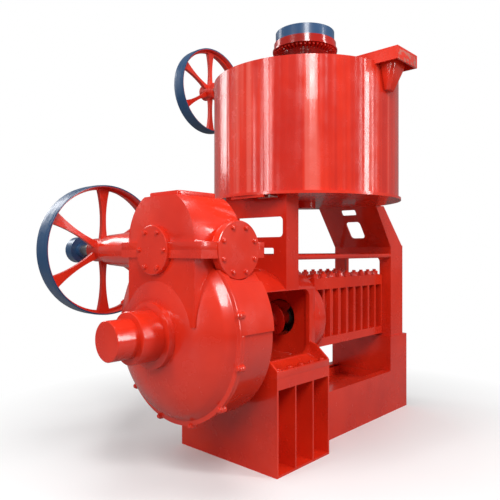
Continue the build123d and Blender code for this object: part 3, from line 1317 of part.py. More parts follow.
def stirrer_arms():
    """The hub with two sweep arms just above the kettle floor."""
    z = KETTLE_FLOOR_Z + KETTLE_FLOOR + 20
    arms = rod_z(62, z, z + 90)
    arms += block(KETTLE_X - STIRRER_ARM_RADIUS, KETTLE_X + STIRRER_ARM_RADIUS, -10, 10, z, z + 56)
    for side in (-1, 1):
        blade = [
            (KETTLE_X + side * STIRRER_ARM_RADIUS, z),
            (KETTLE_X + side * (STIRRER_ARM_RADIUS - 30), z),
            (KETTLE_X + side * (STIRRER_ARM_RADIUS - 30), z + 150),
            (KETTLE_X + side * STIRRER_ARM_RADIUS, z + 150),
        ]
        arms += plate_xz(blade, -10, 10)
    return arms - rod_z(STIRRER_SHAFT_RADIUS + RUNNING_FIT, z - 1, z + 91)


def stirrer_bearing():
    """The flanged bearing that guides the stirrer shaft in the beam."""
    bearing = turned_z(
        [
            (STIRRER_SHAFT_RADIUS + RUNNING_FIT, BEAM_TOP_Z - BEAM_PLATE - 40),
            (48, BEAM_TOP_Z - BEAM_PLATE - 40),
            (51.7, BEAM_TOP_Z),
            (92, BEAM_TOP_Z),
            (92, BEAM_TOP_Z + 18),
            (56, BEAM_TOP_Z + 26),
            (56, BEAM_TOP_Z + 52),
            (STIRRER_SHAFT_RADIUS + RUNNING_FIT, BEAM_TOP_Z + 52),
        ]
    )
    return bearing


def foot_step():
    """The step bearing under the kettle floor that carries the stirrer shaft."""
    z = KETTLE_FLOOR_Z
    cup = turned_z([(0, z - 40), (70, z - 40), (70, z), (STIRRER_SHAFT_RADIUS + 0.5, z), (STIRRER_SHAFT_RADIUS + 0.5, z - 14.5), (0, z - 14.5)])
    return cup


def foot_bolts():
    """The bolts of the yoke's feet on the pedestals."""
    bolts = []
    top = FRONT_COLUMN_HEIGHT + YOKE_FOOT_THICKNESS
    y = HALF_WIDTH + PEDESTAL_DEPTH - 28
    for n in range(5):
        x = -HALF_BASE + 40 + n * (FRONT_COLUMN_LENGTH - 80) / 4
        for side in (-1, 1):
            bolts.append(Pos(x, side * y, top) * hexagon(28, 16))
    return bolts


def rear_bolts():
    """The bolts that hold the cage's end plate and the yoke's rear flange."""
    bolts = []
    for side in (-1, 1):
        for z in (MAIN_AXIS_Z - 130, MAIN_AXIS_Z + 185):
            shape = hexagon(30, 18)
            bolts.append(toward_plus_x(shape, CAGE_FRONT_X, side * 225, z))
    return bolts


def write(name, shapes):
    """Writes one node as a STEP file: one solid, or several separate ones."""
    group = shapes if isinstance(shapes, list) else [shapes]
    solids = [solid for shape in group for solid in shape.solids()]
    export_step(solids[0] if len(solids) == 1 else Compound(solids), f"parts/{name}.step")


NODES = {
    "base_frame": base_frame,
    "pedestal_near": lambda: pedestal(-1),
    "pedestal_far": lambda: pedestal(1),
    "oil_tray": oil_tray,
    "feed_yoke": feed_yoke,
    "cage_upper": lambda: cage_half(True),
    "cage_lower": lambda: cage_half(False),
    "cage_bolts_near": lambda: cage_bolts(-1),
    "cage_bolts_far": lambda: cage_bolts(1),
    "lining_bars": lining_bars,
    "rear_frame": rear_frame,
    "main_shaft": main_shaft,
    "thrust_collar": thrust_collar,
    "worm_segments": worm_segments,
    "worm_collars": worm_collars,
    "main_gear": main_gear,
    "main_bushes": main_bushes,
    "front_cover": front_cover,
    "gear_case_lower": gear_case_lower,
    "gear_case_upper": gear_case_upper,
    "gearbox_hood": gearbox_hood,
    "hood_lid": hood_lid,
    "flange_cap": flange_cap,
    "front_bearing_cap": front_bearing_cap,
    "cap_bolts": cap_bolts,
    "case_bolts": case_bolts,
    "bearing_sleeve": bearing_sleeve,
    "drive_bearings": drive_bearings,
    "counter_bearings": counter_bearings,
    "thrust_housing": thrust_housing,
    "nose_cap": nose_cap,
    "counter_shaft": counter_shaft,
    "spur_pinion": spur_pinion,
    "bevel_wheel": bevel_wheel,
    "drive_pinion": drive_pinion,
    "drive_shaft": drive_shaft,
    "drive_pulley": lambda: spoked_pulley(
        DRIVE_PULLEY_RADIUS,
        DRIVE_PULLEY_WIDTH,
        DRIVE_HUB_RADIUS,
        DRIVE_SHAFT_RADIUS,
        DRIVE_PULLEY_Y,
        DRIVE_AXIS_X,
        DRIVE_AXIS_Z,
        38,
    ),
    "takeoff_pulley": takeoff_pulley,
    "kettle_shell": kettle_shell,
    "kettle_floor": kettle_floor,
    "gate_guide": gate_guide,
    "outlet_gate": outlet_gate,
    "front_leg": front_leg,
    "rear_leg": rear_leg,
    "tie_rods": tie_rods,
    "top_beam": top_beam,
    "beam_bracket_near": lambda: beam_bracket(-1),
    "beam_bracket_far": lambda: beam_bracket(1),
    "shaft_bearings": shaft_bearings,
    "cross_shaft": cross_shaft,
    "kettle_pulley": lambda: spoked_pulley(
        KETTLE_PULLEY_RADIUS,
        KETTLE_PULLEY_WIDTH,
        KETTLE_HUB_RADIUS,
        CROSS_SHAFT_RADIUS,
        KETTLE_PULLEY_Y,
        KETTLE_X,
        CROSS_AXIS_Z,
        30,
    ),
    "crown_pinion": crown_pinion,
    "crown_wheel": crown_wheel,
    "drum_ring": drum_ring,
    "stirrer_shaft": stirrer_shaft,
    "stirrer_arms": stirrer_arms,
    "stirrer_bearing": stirrer_bearing,
    "foot_step": foot_step,
    "foot_bolts": foot_bolts,
    "rear_bolts": rear_bolts,
}


if __name__ == "__main__":
    os.makedirs("parts", exist_ok=True)
    for node, make in NODES.items():
        write(node, make())
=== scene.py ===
"""Finishes, castings, fastenings, studio and camera for a screw oil press with a stirred kettle."""

import logging
import math
from dataclasses import dataclass, field
from enum import Enum
from typing import Any, Callable, Iterable, Iterator, Sequence

import bmesh
import bpy
from mathutils import Matrix, Vector

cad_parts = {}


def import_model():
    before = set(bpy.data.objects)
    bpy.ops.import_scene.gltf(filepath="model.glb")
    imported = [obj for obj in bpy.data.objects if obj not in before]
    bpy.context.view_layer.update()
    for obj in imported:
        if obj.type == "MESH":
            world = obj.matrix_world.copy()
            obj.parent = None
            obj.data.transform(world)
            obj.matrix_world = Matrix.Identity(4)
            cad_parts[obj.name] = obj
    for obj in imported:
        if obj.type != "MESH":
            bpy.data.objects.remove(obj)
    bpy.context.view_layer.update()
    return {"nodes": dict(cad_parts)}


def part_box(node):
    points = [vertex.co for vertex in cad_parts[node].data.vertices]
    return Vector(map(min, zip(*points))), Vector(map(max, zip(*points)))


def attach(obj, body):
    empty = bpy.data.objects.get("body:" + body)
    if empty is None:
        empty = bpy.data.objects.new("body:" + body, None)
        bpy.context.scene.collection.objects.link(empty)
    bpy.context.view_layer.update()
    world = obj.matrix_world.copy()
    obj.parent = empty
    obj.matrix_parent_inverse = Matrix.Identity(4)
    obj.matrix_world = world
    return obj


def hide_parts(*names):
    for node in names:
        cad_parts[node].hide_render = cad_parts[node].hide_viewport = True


LOG = logging.getLogger("press")
Colour = tuple[float, float, float, float]
Pair = tuple[float, float]
Point = tuple[float, float, float]

MILLIMETRE = 0.001
FULL_TURN = 2 * math.pi
AXES = {"x": (1, 2, 0), "y": (2, 0, 1), "z": (0, 1, 2)}
FINE = 128  # points round a large casting
OVER = 1.0  # how far a cut runs past a face, in millimetres
SKIN = 0.1  # what keeps two faces from lying in one plane, in millimetres
WHITE = (1.0, 1.0, 1.0, 1.0)


def linked(name: str, data: Any) -> bpy.types.Object:
    """A new object of that data, linked into the scene."""
    made = bpy.data.objects.new(name, data)
    bpy.context.scene.collection.objects.link(made)
    return made


def evaluated(item: bpy.types.Object) -> bpy.types.Mesh:
    """A plain mesh of an object with its modifiers applied."""
    graph = bpy.context.evaluated_depsgraph_get()
    return bpy.data.meshes.new_from_object(item.evaluated_get(graph))


def aim(item: bpy.types.Object, place: Point, direction: Vector) -> None:
    """Sets a lamp or camera at a place, looking in a direction."""
    item.location = place
    item.rotation_euler = direction.to_track_quat("-Z", "Y").to_euler()


def _math(operation: str) -> Callable[["Shade", Any], "Shade"]:
    """An operator that adds one Math node for a shade and another value."""

    def operator(self: "Shade", other: Any) -> "Shade":
        """Returns the node's output."""
        return self.maker.value("ShaderNodeMath", {0: self, 1: other}, operation=operation)

    return operator


class Shade:
    """A node's output that can be written in sums, such as 0.2 + mask * 0.1."""

    def __init__(self, maker: "NodeMaker", socket: bpy.types.NodeSocket) -> None:
        """Keeps the socket and the maker of its tree."""
        self.maker = maker
        self.socket = socket

    __add__ = __radd__ = _math("ADD")
    __sub__ = _math("SUBTRACT")
    __mul__ = _math("MULTIPLY")
    __pow__ = _math("POWER")
    __gt__ = _math("GREATER_THAN")


class NodeMaker:
    """Adds linked nodes to a tree."""

    def __init__(self, tree: bpy.types.NodeTree) -> None:
        """Empties the tree and keeps it."""
        self.tree = tree
        tree.nodes.clear()

    def node(self, kind: str, inputs: dict | None = None, **settings: Any) -> bpy.types.Node:
        """Adds a node.

        Args:
            kind: The node's type.
            inputs: Values or shades for its sockets, by name or index.
            settings: Its own settings.

        Returns:
            The new node.
        """
        made = self.tree.nodes.new(kind)
        for key, setting in settings.items():
            setattr(made, key, setting)
        for key, given in (inputs or {}).items():
            if isinstance(given, Shade):
                self.tree.links.new(given.socket, made.inputs[key])
            else:
                made.inputs[key].default_value = given
        return made

    def value(
        self, kind: str, inputs: dict | None = None, output: str | int = 0, **settings: Any
    ) -> Shade:
        """Adds a node as node() does, and returns one of its outputs."""
        return Shade(self, self.node(kind, inputs, **settings).outputs[output])


class ShaderMaker(NodeMaker):
    """Builds the nodes of one material."""

    def __init__(self, name: str) -> None:
        """Starts a material with an empty tree."""
        self.material = bpy.data.materials.new(name)
        self.material.use_nodes = True
        super().__init__(self.material.node_tree)
        self.coordinates = self.value("ShaderNodeTexCoord", output="Object")

    def noise(
        self, scale: float, detail: float = 2.0, stretch: Point = (1.0, 1.0, 1.0)
    ) -> Shade:
        """Adds cloudy noise from 0 to 1.

        Args:
            scale: Features in a metre.
            detail: Octaves of finer noise.
            stretch: Factors on X, Y and Z.

        Returns:
            The noise value.
        """
        where = self.value("ShaderNodeMapping", {"Vector": self.coordinates, "Scale": stretch})
        inputs = {"Vector": where, "Scale": scale, "Detail": detail}
        return self.value("ShaderNodeTexNoise", inputs)

    def blend(self, factor: Shade | float, first: Any, second: Any) -> Shade:
        """Mixes two colours by a factor."""
        inputs = {0: factor, 6: first, 7: second}
        return self.value("ShaderNodeMix", inputs, 2, data_type="RGBA")

    def ramp(self, factor: Shade, low: float, high: float) -> Shade:
        """Spreads the part of a value between low and high over 0 to 1."""
        inputs = {"Value": factor, "From Min": low, "From Max": high}
        return self.value("ShaderNodeMapRange", inputs)

    def bump(self, height: Shade, distance: float, under: Shade | None = None) -> Shade:
        """Adds a bump of that many metres, on top of another one."""
        inputs: dict[str, Any] = {"Height": height, "Distance": distance, "Strength": 1.0}
        if under is not None:
            inputs["Normal"] = under
        return self.value("ShaderNodeBump", inputs)

    def away_from(self, axes: str, centre: Pair) -> Shade:
        """The distance in metres from a line, by the two axes across it, such as XZ."""
        split = self.node("ShaderNodeSeparateXYZ", {0: self.coordinates})
        first, second = (Shade(self, split.outputs[a]) - c for a, c in zip(axes, centre))
        return (first * first + second * second) ** 0.5

    def surface(self, inputs: dict) -> bpy.types.Material:
        """Ends the material in a Principled shader with those inputs."""
        shader = self.value("ShaderNodeBsdfPrincipled", inputs, "BSDF")
        self.node("ShaderNodeOutputMaterial", {"Surface": shader})
        return self.material


@dataclass(frozen=True)
class Enamel:
    """Glossy brushed-on enamel over cast or welded iron."""

    name: str  # the material's name
    colour: Colour  # the fresh colour
    shade: Colour  # the colour where the coat is thick, and of the painted dark reflection streaks
    ripple: float = 0.0012  # how far the surface waves, in metres
    peel: float = 0.00005  # the height of the fine orange peel, in metres
    brush: float = 0.0007  # the height of the brush marks, in metres
    stretch: Point = (1.0, 1.0, 1.0)  # factors on X, Y and Z for the waves
    rim_colour: Colour | None = None  # the colour past rim_radius, where there is one
    rim_centre: Pair = (0.0, 0.0)  # X and Z of the line that rim_radius is measured from
    rim_radius: float = 0.0  # where the second colour starts, in metres
    highlight_spots: float = 0.0  # how much of the coat is covered by pinkish spots of painted highlight
    highlight_spot_colour: Colour = (0.5, 0.17, 0.13, 1.0)  # the faded primer under it
    reflection_streaks: float = 0.0  # how strongly upright streaks of painted reflection, light and dark, run down the sheet
    streak_highlight_colour: Colour = (0.84, 0.16, 0.12, 1.0)  # the colour of the painted highlight streaks
    roughness: float = 0.16  # the roughness where the coat is smoothest
    coat: float = 0.35  # how strong its varnish layer is

    def _colour(self, maker: ShaderMaker) -> Shade:
        """The colour with its clouds, its second colour, its painted highlight spots and its
        painted reflection streaks.
        """
        clouds = maker.ramp(maker.noise(3.0, 3.0), 0.35, 0.75)
        colour = maker.blend(clouds * 0.7, self.colour, self.shade)
        if self.rim_colour is not None:
            outside = maker.away_from("XZ", self.rim_centre) > self.rim_radius
            colour = maker.blend(outside, colour, self.rim_colour)
        # pinkish spots of painted highlight over the coat
        if self.highlight_spots:
            edge = 0.6 - self.highlight_spots * 0.2
            painted_highlights = maker.ramp(maker.noise(38.0, 6.0), edge, edge + 0.06)
            colour = maker.blend(painted_highlights * 0.8, colour, self.highlight_spot_colour)
        # painted reflection streaks: light and dark upright bands put into the colour
        if self.reflection_streaks:
            reflection_bands = maker.noise(15.0, 2.0, (1.0, 1.0, 0.02))
            dark = maker.ramp(reflection_bands, 0.5, 0.38) * self.reflection_streaks
            colour = maker.blend(dark * 0.7, colour, self.shade)
            light = maker.ramp(reflection_bands, 0.53, 0.64) * self.reflection_streaks
            colour = maker.blend(light * 0.6, colour, self.streak_highlight_colour)
        specks = maker.ramp(maker.noise(90.0, 4.0), 0.68, 0.78)
        return maker.blend(specks * 0.25, colour, self.shade)

    def build(self) -> bpy.types.Material:
        """Makes the material."""
        maker = ShaderMaker(self.name)
        waves = maker.bump(maker.noise(7.0, 1.0, self.stretch), self.ripple)
        brushed = maker.bump(maker.noise(26.0, 4.0, (1.0, 1.0, 0.4)), self.brush, waves)
        dull = maker.ramp(maker.noise(11.0, 4.0), 0.3, 0.8)
        return maker.surface(
            {
                "Base Color": self._colour(maker),
                "Roughness": self.roughness + dull * 0.18,
                "Normal": maker.bump(maker.noise(420.0, 2.0), self.peel, brushed),
                "Coat Weight": self.coat,
                "Coat Roughness": 0.05,
            }
        )


@dataclass(frozen=True)
class TurnedSteel:
    """Oiled steel with fine tool marks round its axis."""

    name: str  # the material's name
    colour: Colour = (0.55, 0.54, 0.52, 1.0)  # the steel's colour
    dark: Colour = (0.16, 0.13, 0.1, 1.0)  # the colour of the oil film
    lines: Point = (8.0, 1.0, 1.0)  # factors on X, Y and Z, large along the axis

    def build(self) -> bpy.types.Material:
        """Makes the material."""
        maker = ShaderMaker(self.name)
        marks = maker.noise(60.0, 3.0, self.lines)
        film = maker.ramp(maker.noise(7.0, 5.0), 0.45, 0.8)
        return maker.surface(
            {
                "Base Color": maker.blend(film * 0.8, self.colour, self.dark),
                "Metallic": 1.0,
                "Roughness": 0.24 + marks * 0.2 + film * 0.12,
                "Normal": maker.bump(marks, 0.0001),
            }
        )


@dataclass(frozen=True)
class CastIron:
    """Dark oiled iron, sandy where it was cast."""

    name: str  # the material's name
    colour: Colour = (0.09, 0.085, 0.08, 1.0)  # the iron's colour
    rust: Colour = (0.13, 0.055, 0.03, 1.0)  # the colour of its thin rust

    def build(self) -> bpy.types.Material:
        """Makes the material."""
        maker = ShaderMaker(self.name)
        patches = maker.ramp(maker.noise(14.0, 6.0), 0.5, 0.7)
        return maker.surface(
            {
                "Base Color": maker.blend(patches * 0.6, self.colour, self.rust),
                "Metallic": 0.6,
                "Roughness": 0.42 + patches * 0.25,
                "Normal": maker.bump(maker.noise(300.0, 3.0), 0.00025),
            }
        )


class Finish(Enum):
    """The finishes of the press, by the names of their materials."""

    RED = "red_enamel"
    SHEET = "sheet_enamel"
    GEAR_RED = "gear_enamel"
    # enamel with pinkish spots of painted highlight
    HIGHLIGHT_SPOTTED = "highlight_spotted_enamel"
    BLUE = "pulley_enamel"
    DRIVE_PULLEY = "drive_pulley_enamel"
    KETTLE_PULLEY = "kettle_pulley_enamel"
    STEEL_X = "steel_turned_along_x"
    STEEL_Y = "steel_turned_along_y"
    STEEL_Z = "steel_turned_along_z"
    IRON = "gear_iron"
    BRONZE = "bearing_bronze"


@dataclass
class Workshop:
    """Makes each finish once and gives it to the nodes."""

    nodes: dict[str, bpy.types.Object]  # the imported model's nodes by name
    made: dict[Finish, bpy.types.Material] = field(default_factory=dict)  # the finishes made so far
    red: Colour = (0.76, 0.03, 0.009, 1.0)  # the press's red
    deep_red: Colour = (0.52, 0.012, 0.005, 1.0)  # the red where it is thick
    dark_red: Colour = (0.16, 0.006, 0.003, 1.0)  # red over greasy iron
    blue: Colour = (0.03, 0.1, 0.22, 1.0)  # the pulleys' blue
    deep_blue: Colour = (0.014, 0.04, 0.11, 1.0)  # the blue where it is thick
    rim_blue: Colour = (0.016, 0.062, 0.15, 1.0)  # the blue of the two spoked pulleys' rims
    rim: float = 0.0105  # the thickness of those rims, in metres

    def material(self, finish: Finish) -> bpy.types.Material:
        """The material of a finish, made at its first use."""
        if finish not in self.made:
            self.made[finish] = self._recipe(finish).build()
        return self.made[finish]

    def _pulley(self, finish: Finish, node: str) -> Enamel:
        """Red spokes inside a blue rim, by the place of the pulley's node."""
        low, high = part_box(node)
        return Enamel(
            finish.value,
            self.red,
            self.deep_red,
            rim_colour=self.rim_blue,
            rim_centre=((low.x + high.x) / 2, (low.z + high.z) / 2),
            rim_radius=(high.x - low.x) / 2 - self.rim,
            roughness=0.3,
            coat=0.12,
        )

    def _recipe(self, finish: Finish) -> Enamel | TurnedSteel | CastIron:
        """The dataclass that builds a finish."""
        name, reds = finish.value, (self.red, self.deep_red)
        if finish is Finish.DRIVE_PULLEY:
            return self._pulley(finish, "drive_pulley")
        if finish is Finish.KETTLE_PULLEY:
            return self._pulley(finish, "kettle_pulley")
        down = (2.2, 2.2, 0.05)
        return {
            Finish.RED: Enamel(name, *reds),
            # the kettle's sheet, with painted reflection streaks
            Finish.SHEET: Enamel(name, *reds, ripple=0.009, stretch=down, reflection_streaks=0.9),
            # the beam end plates' enamel, with pinkish spots of painted highlight
            Finish.HIGHLIGHT_SPOTTED: Enamel(name, *reds, highlight_spots=0.5),
            Finish.GEAR_RED: Enamel(name, self.deep_red, self.dark_red),
            Finish.BLUE: Enamel(name, self.blue, self.deep_blue, roughness=0.26, coat=0.2),
            Finish.STEEL_X: TurnedSteel(name, lines=(8.0, 1.0, 1.0)),
            Finish.STEEL_Y: TurnedSteel(name, lines=(1.0, 8.0, 1.0)),
            Finish.STEEL_Z: TurnedSteel(name, lines=(1.0, 1.0, 8.0)),
            Finish.IRON: CastIron(name),
            Finish.BRONZE: TurnedSteel(name, colour=(0.5, 0.31, 0.12, 1.0)),
        }[finish]

    def dress(self, finish: Finish, *names: str) -> None:
        """Gives nodes a finish.

        Args:
            finish: The finish.
            names: The nodes.
        """
        for name in names:
            slots = self.nodes[name].data.materials
            slots.clear()
            slots.append(self.material(finish))


def placed(axis: str, across: Iterable[Pair], along: float) -> list[Point]:
    """Points by their places across an axis, and by one place along it."""
    one, two, own = AXES[axis]
    points = []
    for first, second in across:
        point = [0.0, 0.0, 0.0]
        point[one], point[two], point[own] = first, second, along
        points.append(tuple(point))
    return points


def circle(centre: Pair, radius: float, turns: Iterable[float]) -> list[Pair]:
    """Points on a circle by their angles in radians."""
    return [(centre[0] + radius * math.cos(t), centre[1] + radius * math.sin(t)) for t in turns]


class Form:
    """A closed mesh in millimetres that can be joined with others or cut by them.

    Where a form has an axis, x, y or z, places across it are in the order y z, z x or x y.
    """

    def __init__(self, mesh: bpy.types.Mesh) -> None:
        """Keeps the mesh."""
        self.mesh = mesh

    @staticmethod
    def from_loops(loops: Sequence[Sequence[Point]]) -> "Form":
        """Skins loops of as many points each, and closes both ends.

        Args:
            loops: The loops in order, in millimetres.

        Returns:
            The closed form.
        """
        made = bmesh.new()
        rows = [[made.verts.new(point) for point in loop] for loop in loops]
        count = len(rows[0])
        for first, second in zip(rows, rows[1:]):
            for n in range(count):
                m = (n + 1) % count
                made.faces.new((first[n], first[m], second[m], second[n]))
        made.faces.new(list(reversed(rows[0])))
        made.faces.new(rows[-1])
        bmesh.ops.recalc_face_normals(made, faces=made.faces)
        mesh = bpy.data.meshes.new("form")
        made.to_mesh(mesh)
        made.free()
        return Form(mesh)

    @staticmethod
    def prism(axis: str, outline: Sequence[Pair], start: float, end: float) -> "Form":
        """Stretches an outline along an axis from start to end."""
        return Form.from_loops([placed(axis, outline, place) for place in (start, end)])

    @staticmethod
    def turned(axis: str, centre: Pair, profile: Sequence[Pair], steps: int = 96) -> "Form":
        """Turns a profile round an axis.

        Args:
            axis: The axis, x, y or z.
            centre: The axis's place across itself.
            profile: Pairs of place along the axis and radius.
            steps: Points round the axis.

        Returns:
            The turned form.
        """
        turns = [FULL_TURN * n / steps for n in range(steps)]
        rings = [(circle(centre, radius, turns), place) for place, radius in profile]
        return Form.from_loops([placed(axis, ring, place) for ring, place in rings])

    @staticmethod
    def rod(
        axis: str, centre: Pair, radius: float, start: float, end: float, steps: int = 96
    ) -> "Form":
        """A round bar along an axis, as turned() takes it."""
        return Form.turned(axis, centre, ((start, radius), (end, radius)), steps)

    @staticmethod
    def block(low: Point, high: Point) -> "Form":
        """A rectangular block between two corners."""
        outline = [(low[0], low[1]), (high[0], low[1]), (high[0], high[1]), (low[0], high[1])]
        return Form.prism("z", outline, low[2], high[2])

    def _with(self, other: "Form", operation: str) -> "Form":
        """Joins, cuts or crosses this form with another."""
        pair = [linked(f"form_{n}", form.mesh) for n, form in enumerate((self, other))]
        modifier = pair[0].modifiers.new("shape", "BOOLEAN")
        modifier.operation = operation
        modifier.solver = "EXACT"
        modifier.object = pair[1]
        mesh = evaluated(pair[0])
        for item in pair:
            bpy.data.objects.remove(item)
        return Form(mesh)

    def __add__(self, other: "Form") -> "Form":
        """Joins two forms."""
        return self._with(other, "UNION")

    def __sub__(self, other: "Form") -> "Form":
        """Cuts another form away."""
        return self._with(other, "DIFFERENCE")

    def __and__(self, other: "Form") -> "Form":
        """Keeps what both forms fill."""
        return self._with(other, "INTERSECT")

    def piece(self, name: str, edge: float, sharp: float = 32.0) -> bpy.types.Object:
        """Makes a shown piece of the form.

        Args:
            name: The piece's name.
            edge: The width of its bevelled edges in millimetres.
            sharp: The angle in degrees from which an edge stays sharp.

        Returns:
            The object, in metres.
        """
        mesh = self.mesh.copy()
        mesh.name = name
        mesh.transform(Matrix.Scale(MILLIMETRE, 4))
        made = linked(name, mesh)
        bevel = made.modifiers.new("edge", "BEVEL")
        bevel.width = edge * MILLIMETRE
        bevel.segments = 2
        bevel.limit_method = "ANGLE"
        bevel.angle_limit = math.radians(sharp)
        made.data = evaluated(made)
        made.modifiers.clear()
        made.data.shade_smooth()
        made.data.set_sharp_from_angle(angle=math.radians(sharp))
        return made


def round_rectangle(centre: Pair, half: Pair, corner: float, steps: int = 6) -> list[Pair]:
    """The outline of a rectangle with round corners.

    Args:
        centre: Its middle.
        half: Half its width and height.
        corner: The corners' radius.
        steps: Points in a corner, less one.

    Returns:
        Its points, counterclockwise.
    """
    points = []
    for quarter, (side, rise) in enumerate(((1, 1), (-1, 1), (-1, -1), (1, -1))):
        middle = (centre[0] + side * (half[0] - corner), centre[1] + rise * (half[1] - corner))
        turns = [math.pi / 2 * (quarter + n / steps) for n in range(steps + 1)]
        points += circle(middle, corner, turns)
    return points


def arc_through(start: Pair, middle: Pair, end: Pair, steps: int = 24) -> list[Pair]:
    """Points on the circle through three points, from the first to the last."""
    (ax, ay), (bx, by), (cx, cy) = start, middle, end
    double = 2 * (ax * (by - cy) + bx * (cy - ay) + cx * (ay - by))
    a, b, c = ax * ax + ay * ay, bx * bx + by * by, cx * cx + cy * cy
    x = (a * (by - cy) + b * (cy - ay) + c * (ay - by)) / double
    y = (a * (cx - bx) + b * (ax - cx) + c * (bx - ax)) / double
    first, mid, last = (math.atan2(py - y, px - x) for px, py in (start, middle, end))
    whole, part = (last - first) % FULL_TURN, (mid - first) % FULL_TURN
    if part > whole:
        whole -= FULL_TURN
    turns = [first + whole * n / steps for n in range(steps + 1)]
    return circle((x, y), math.hypot(ax - x, ay - y), turns)


def bend_to(start: Pair, knee: Pair, end: Pair, steps: int = 10) -> list[Pair]:
    """Points after start on the curve that leaves towards knee and comes in to end from it."""
    points = []
    for n in range(1, steps + 1):
        t = n / steps
        shares = ((1 - t) ** 2, 2 * t * (1 - t), t * t)
        corners = (start, knee, end)
        points.append(tuple(sum(w * p[k] for w, p in zip(shares, corners)) for k in (0, 1)))
    return points


@dataclass(frozen=True)
class GearboxSizes:
    """Sizes of the gear case and the bevel gearbox in millimetres."""

    axis: Pair = (0.0, 760.0)  # Y and Z of the main shaft
    drive: Pair = (1180.0, -1100.0)  # Z and X of the drive shaft
    counter: Pair = (0.0, 1180.0)  # Y and Z of the counter shaft
    front: float = -1331.0  # X of the gearbox's face
    rear: float = -1018.0  # X of its back
    near: float = -290.0  # Y of its near side
    far: float = 228.0  # Y of its far side
    seam: float = -1195.0  # X of the cover's seam
    back: float = -971.0  # X of the drum's back
    # X and radius of three points on the cover's dome
    dome: tuple[Pair, Pair, Pair] = ((-1345.0, 165.0), (-1316.0, 310.0), (-1254.0, 413.0))
    knee: Pair = (-1216.0, 445.0)  # X and radius that the dome bends towards before the seam
    drum: float = 455.0  # the drum's radius
    wall: float = 20.0  # the drum's wall
    ring: float = 468.0  # the seam ring's radius
    ring_half: float = 16.0  # half the seam ring's length
    lug: float = 17.0  # the radius of the ring's bolt lugs
    bolts: float = 470.0  # the radius of the seam bolts' circle
    bolts_top: float = 330.0  # how far above the axis the seam bolts end
    band: float = 467.0  # the upper casting's radius
    parting: float = 788.0  # Z of the drum's parting
    band_top: float = 1025.0  # Z where the thick band ends
    arch: Pair = (-31.0, 1219.0)  # Y and Z of the hood's middle
    hood_wall: float = 14.0  # the hood's wall
    top: float = 1447.0  # Z of the hood's flat top
    flange: float = 39.0  # the split flanges' height
    lip: float = 14.0  # how far the split flange stands before the face
    near_flange: Pair = (-914.0, -351.0)  # X and Y where the near flange ends
    far_flange: float = 45.0  # how far the far flange stands out
    seat: Pair = (-1375.0, -1325.0)  # X of the two ends of the thrust housing's seat
    seat_radius: float = 165.0  # its radius
    seat_bore: float = 110.0  # the radius of its bore
    nose_bore: float = 95.0  # the radius of the bore through the cover behind it
    housing: float = 125.0  # the radius of the drive shaft's housings
    housing_ends: Pair = (-336.0, 365.0)  # Y of their outer ends, near and far
    cap: float = 143.0  # the radius of the cap on the near one
    drive_bore: float = 70.0  # the radius of their bores
    counter_housing: float = 115.0  # the radius of the counter shaft's housing
    counter_bore: float = 62.0  # the radius of its bore
    front_cap: float = 124.0  # the radius of the pocket for its cap
    shaft_bore: float = 60.05  # the radius of the bore for the main shaft
    gap: float = 0.3  # the seat's gap

    def seam_places(self) -> list[Pair]:
        """Y and Z of the seam bolts below the gearbox."""
        turns = [math.radians(15 + 30 * n) for n in range(12)]
        low = [t for t in turns if self.bolts * math.sin(t) < self.bolts_top]
        return circle(self.axis, self.bolts, low)


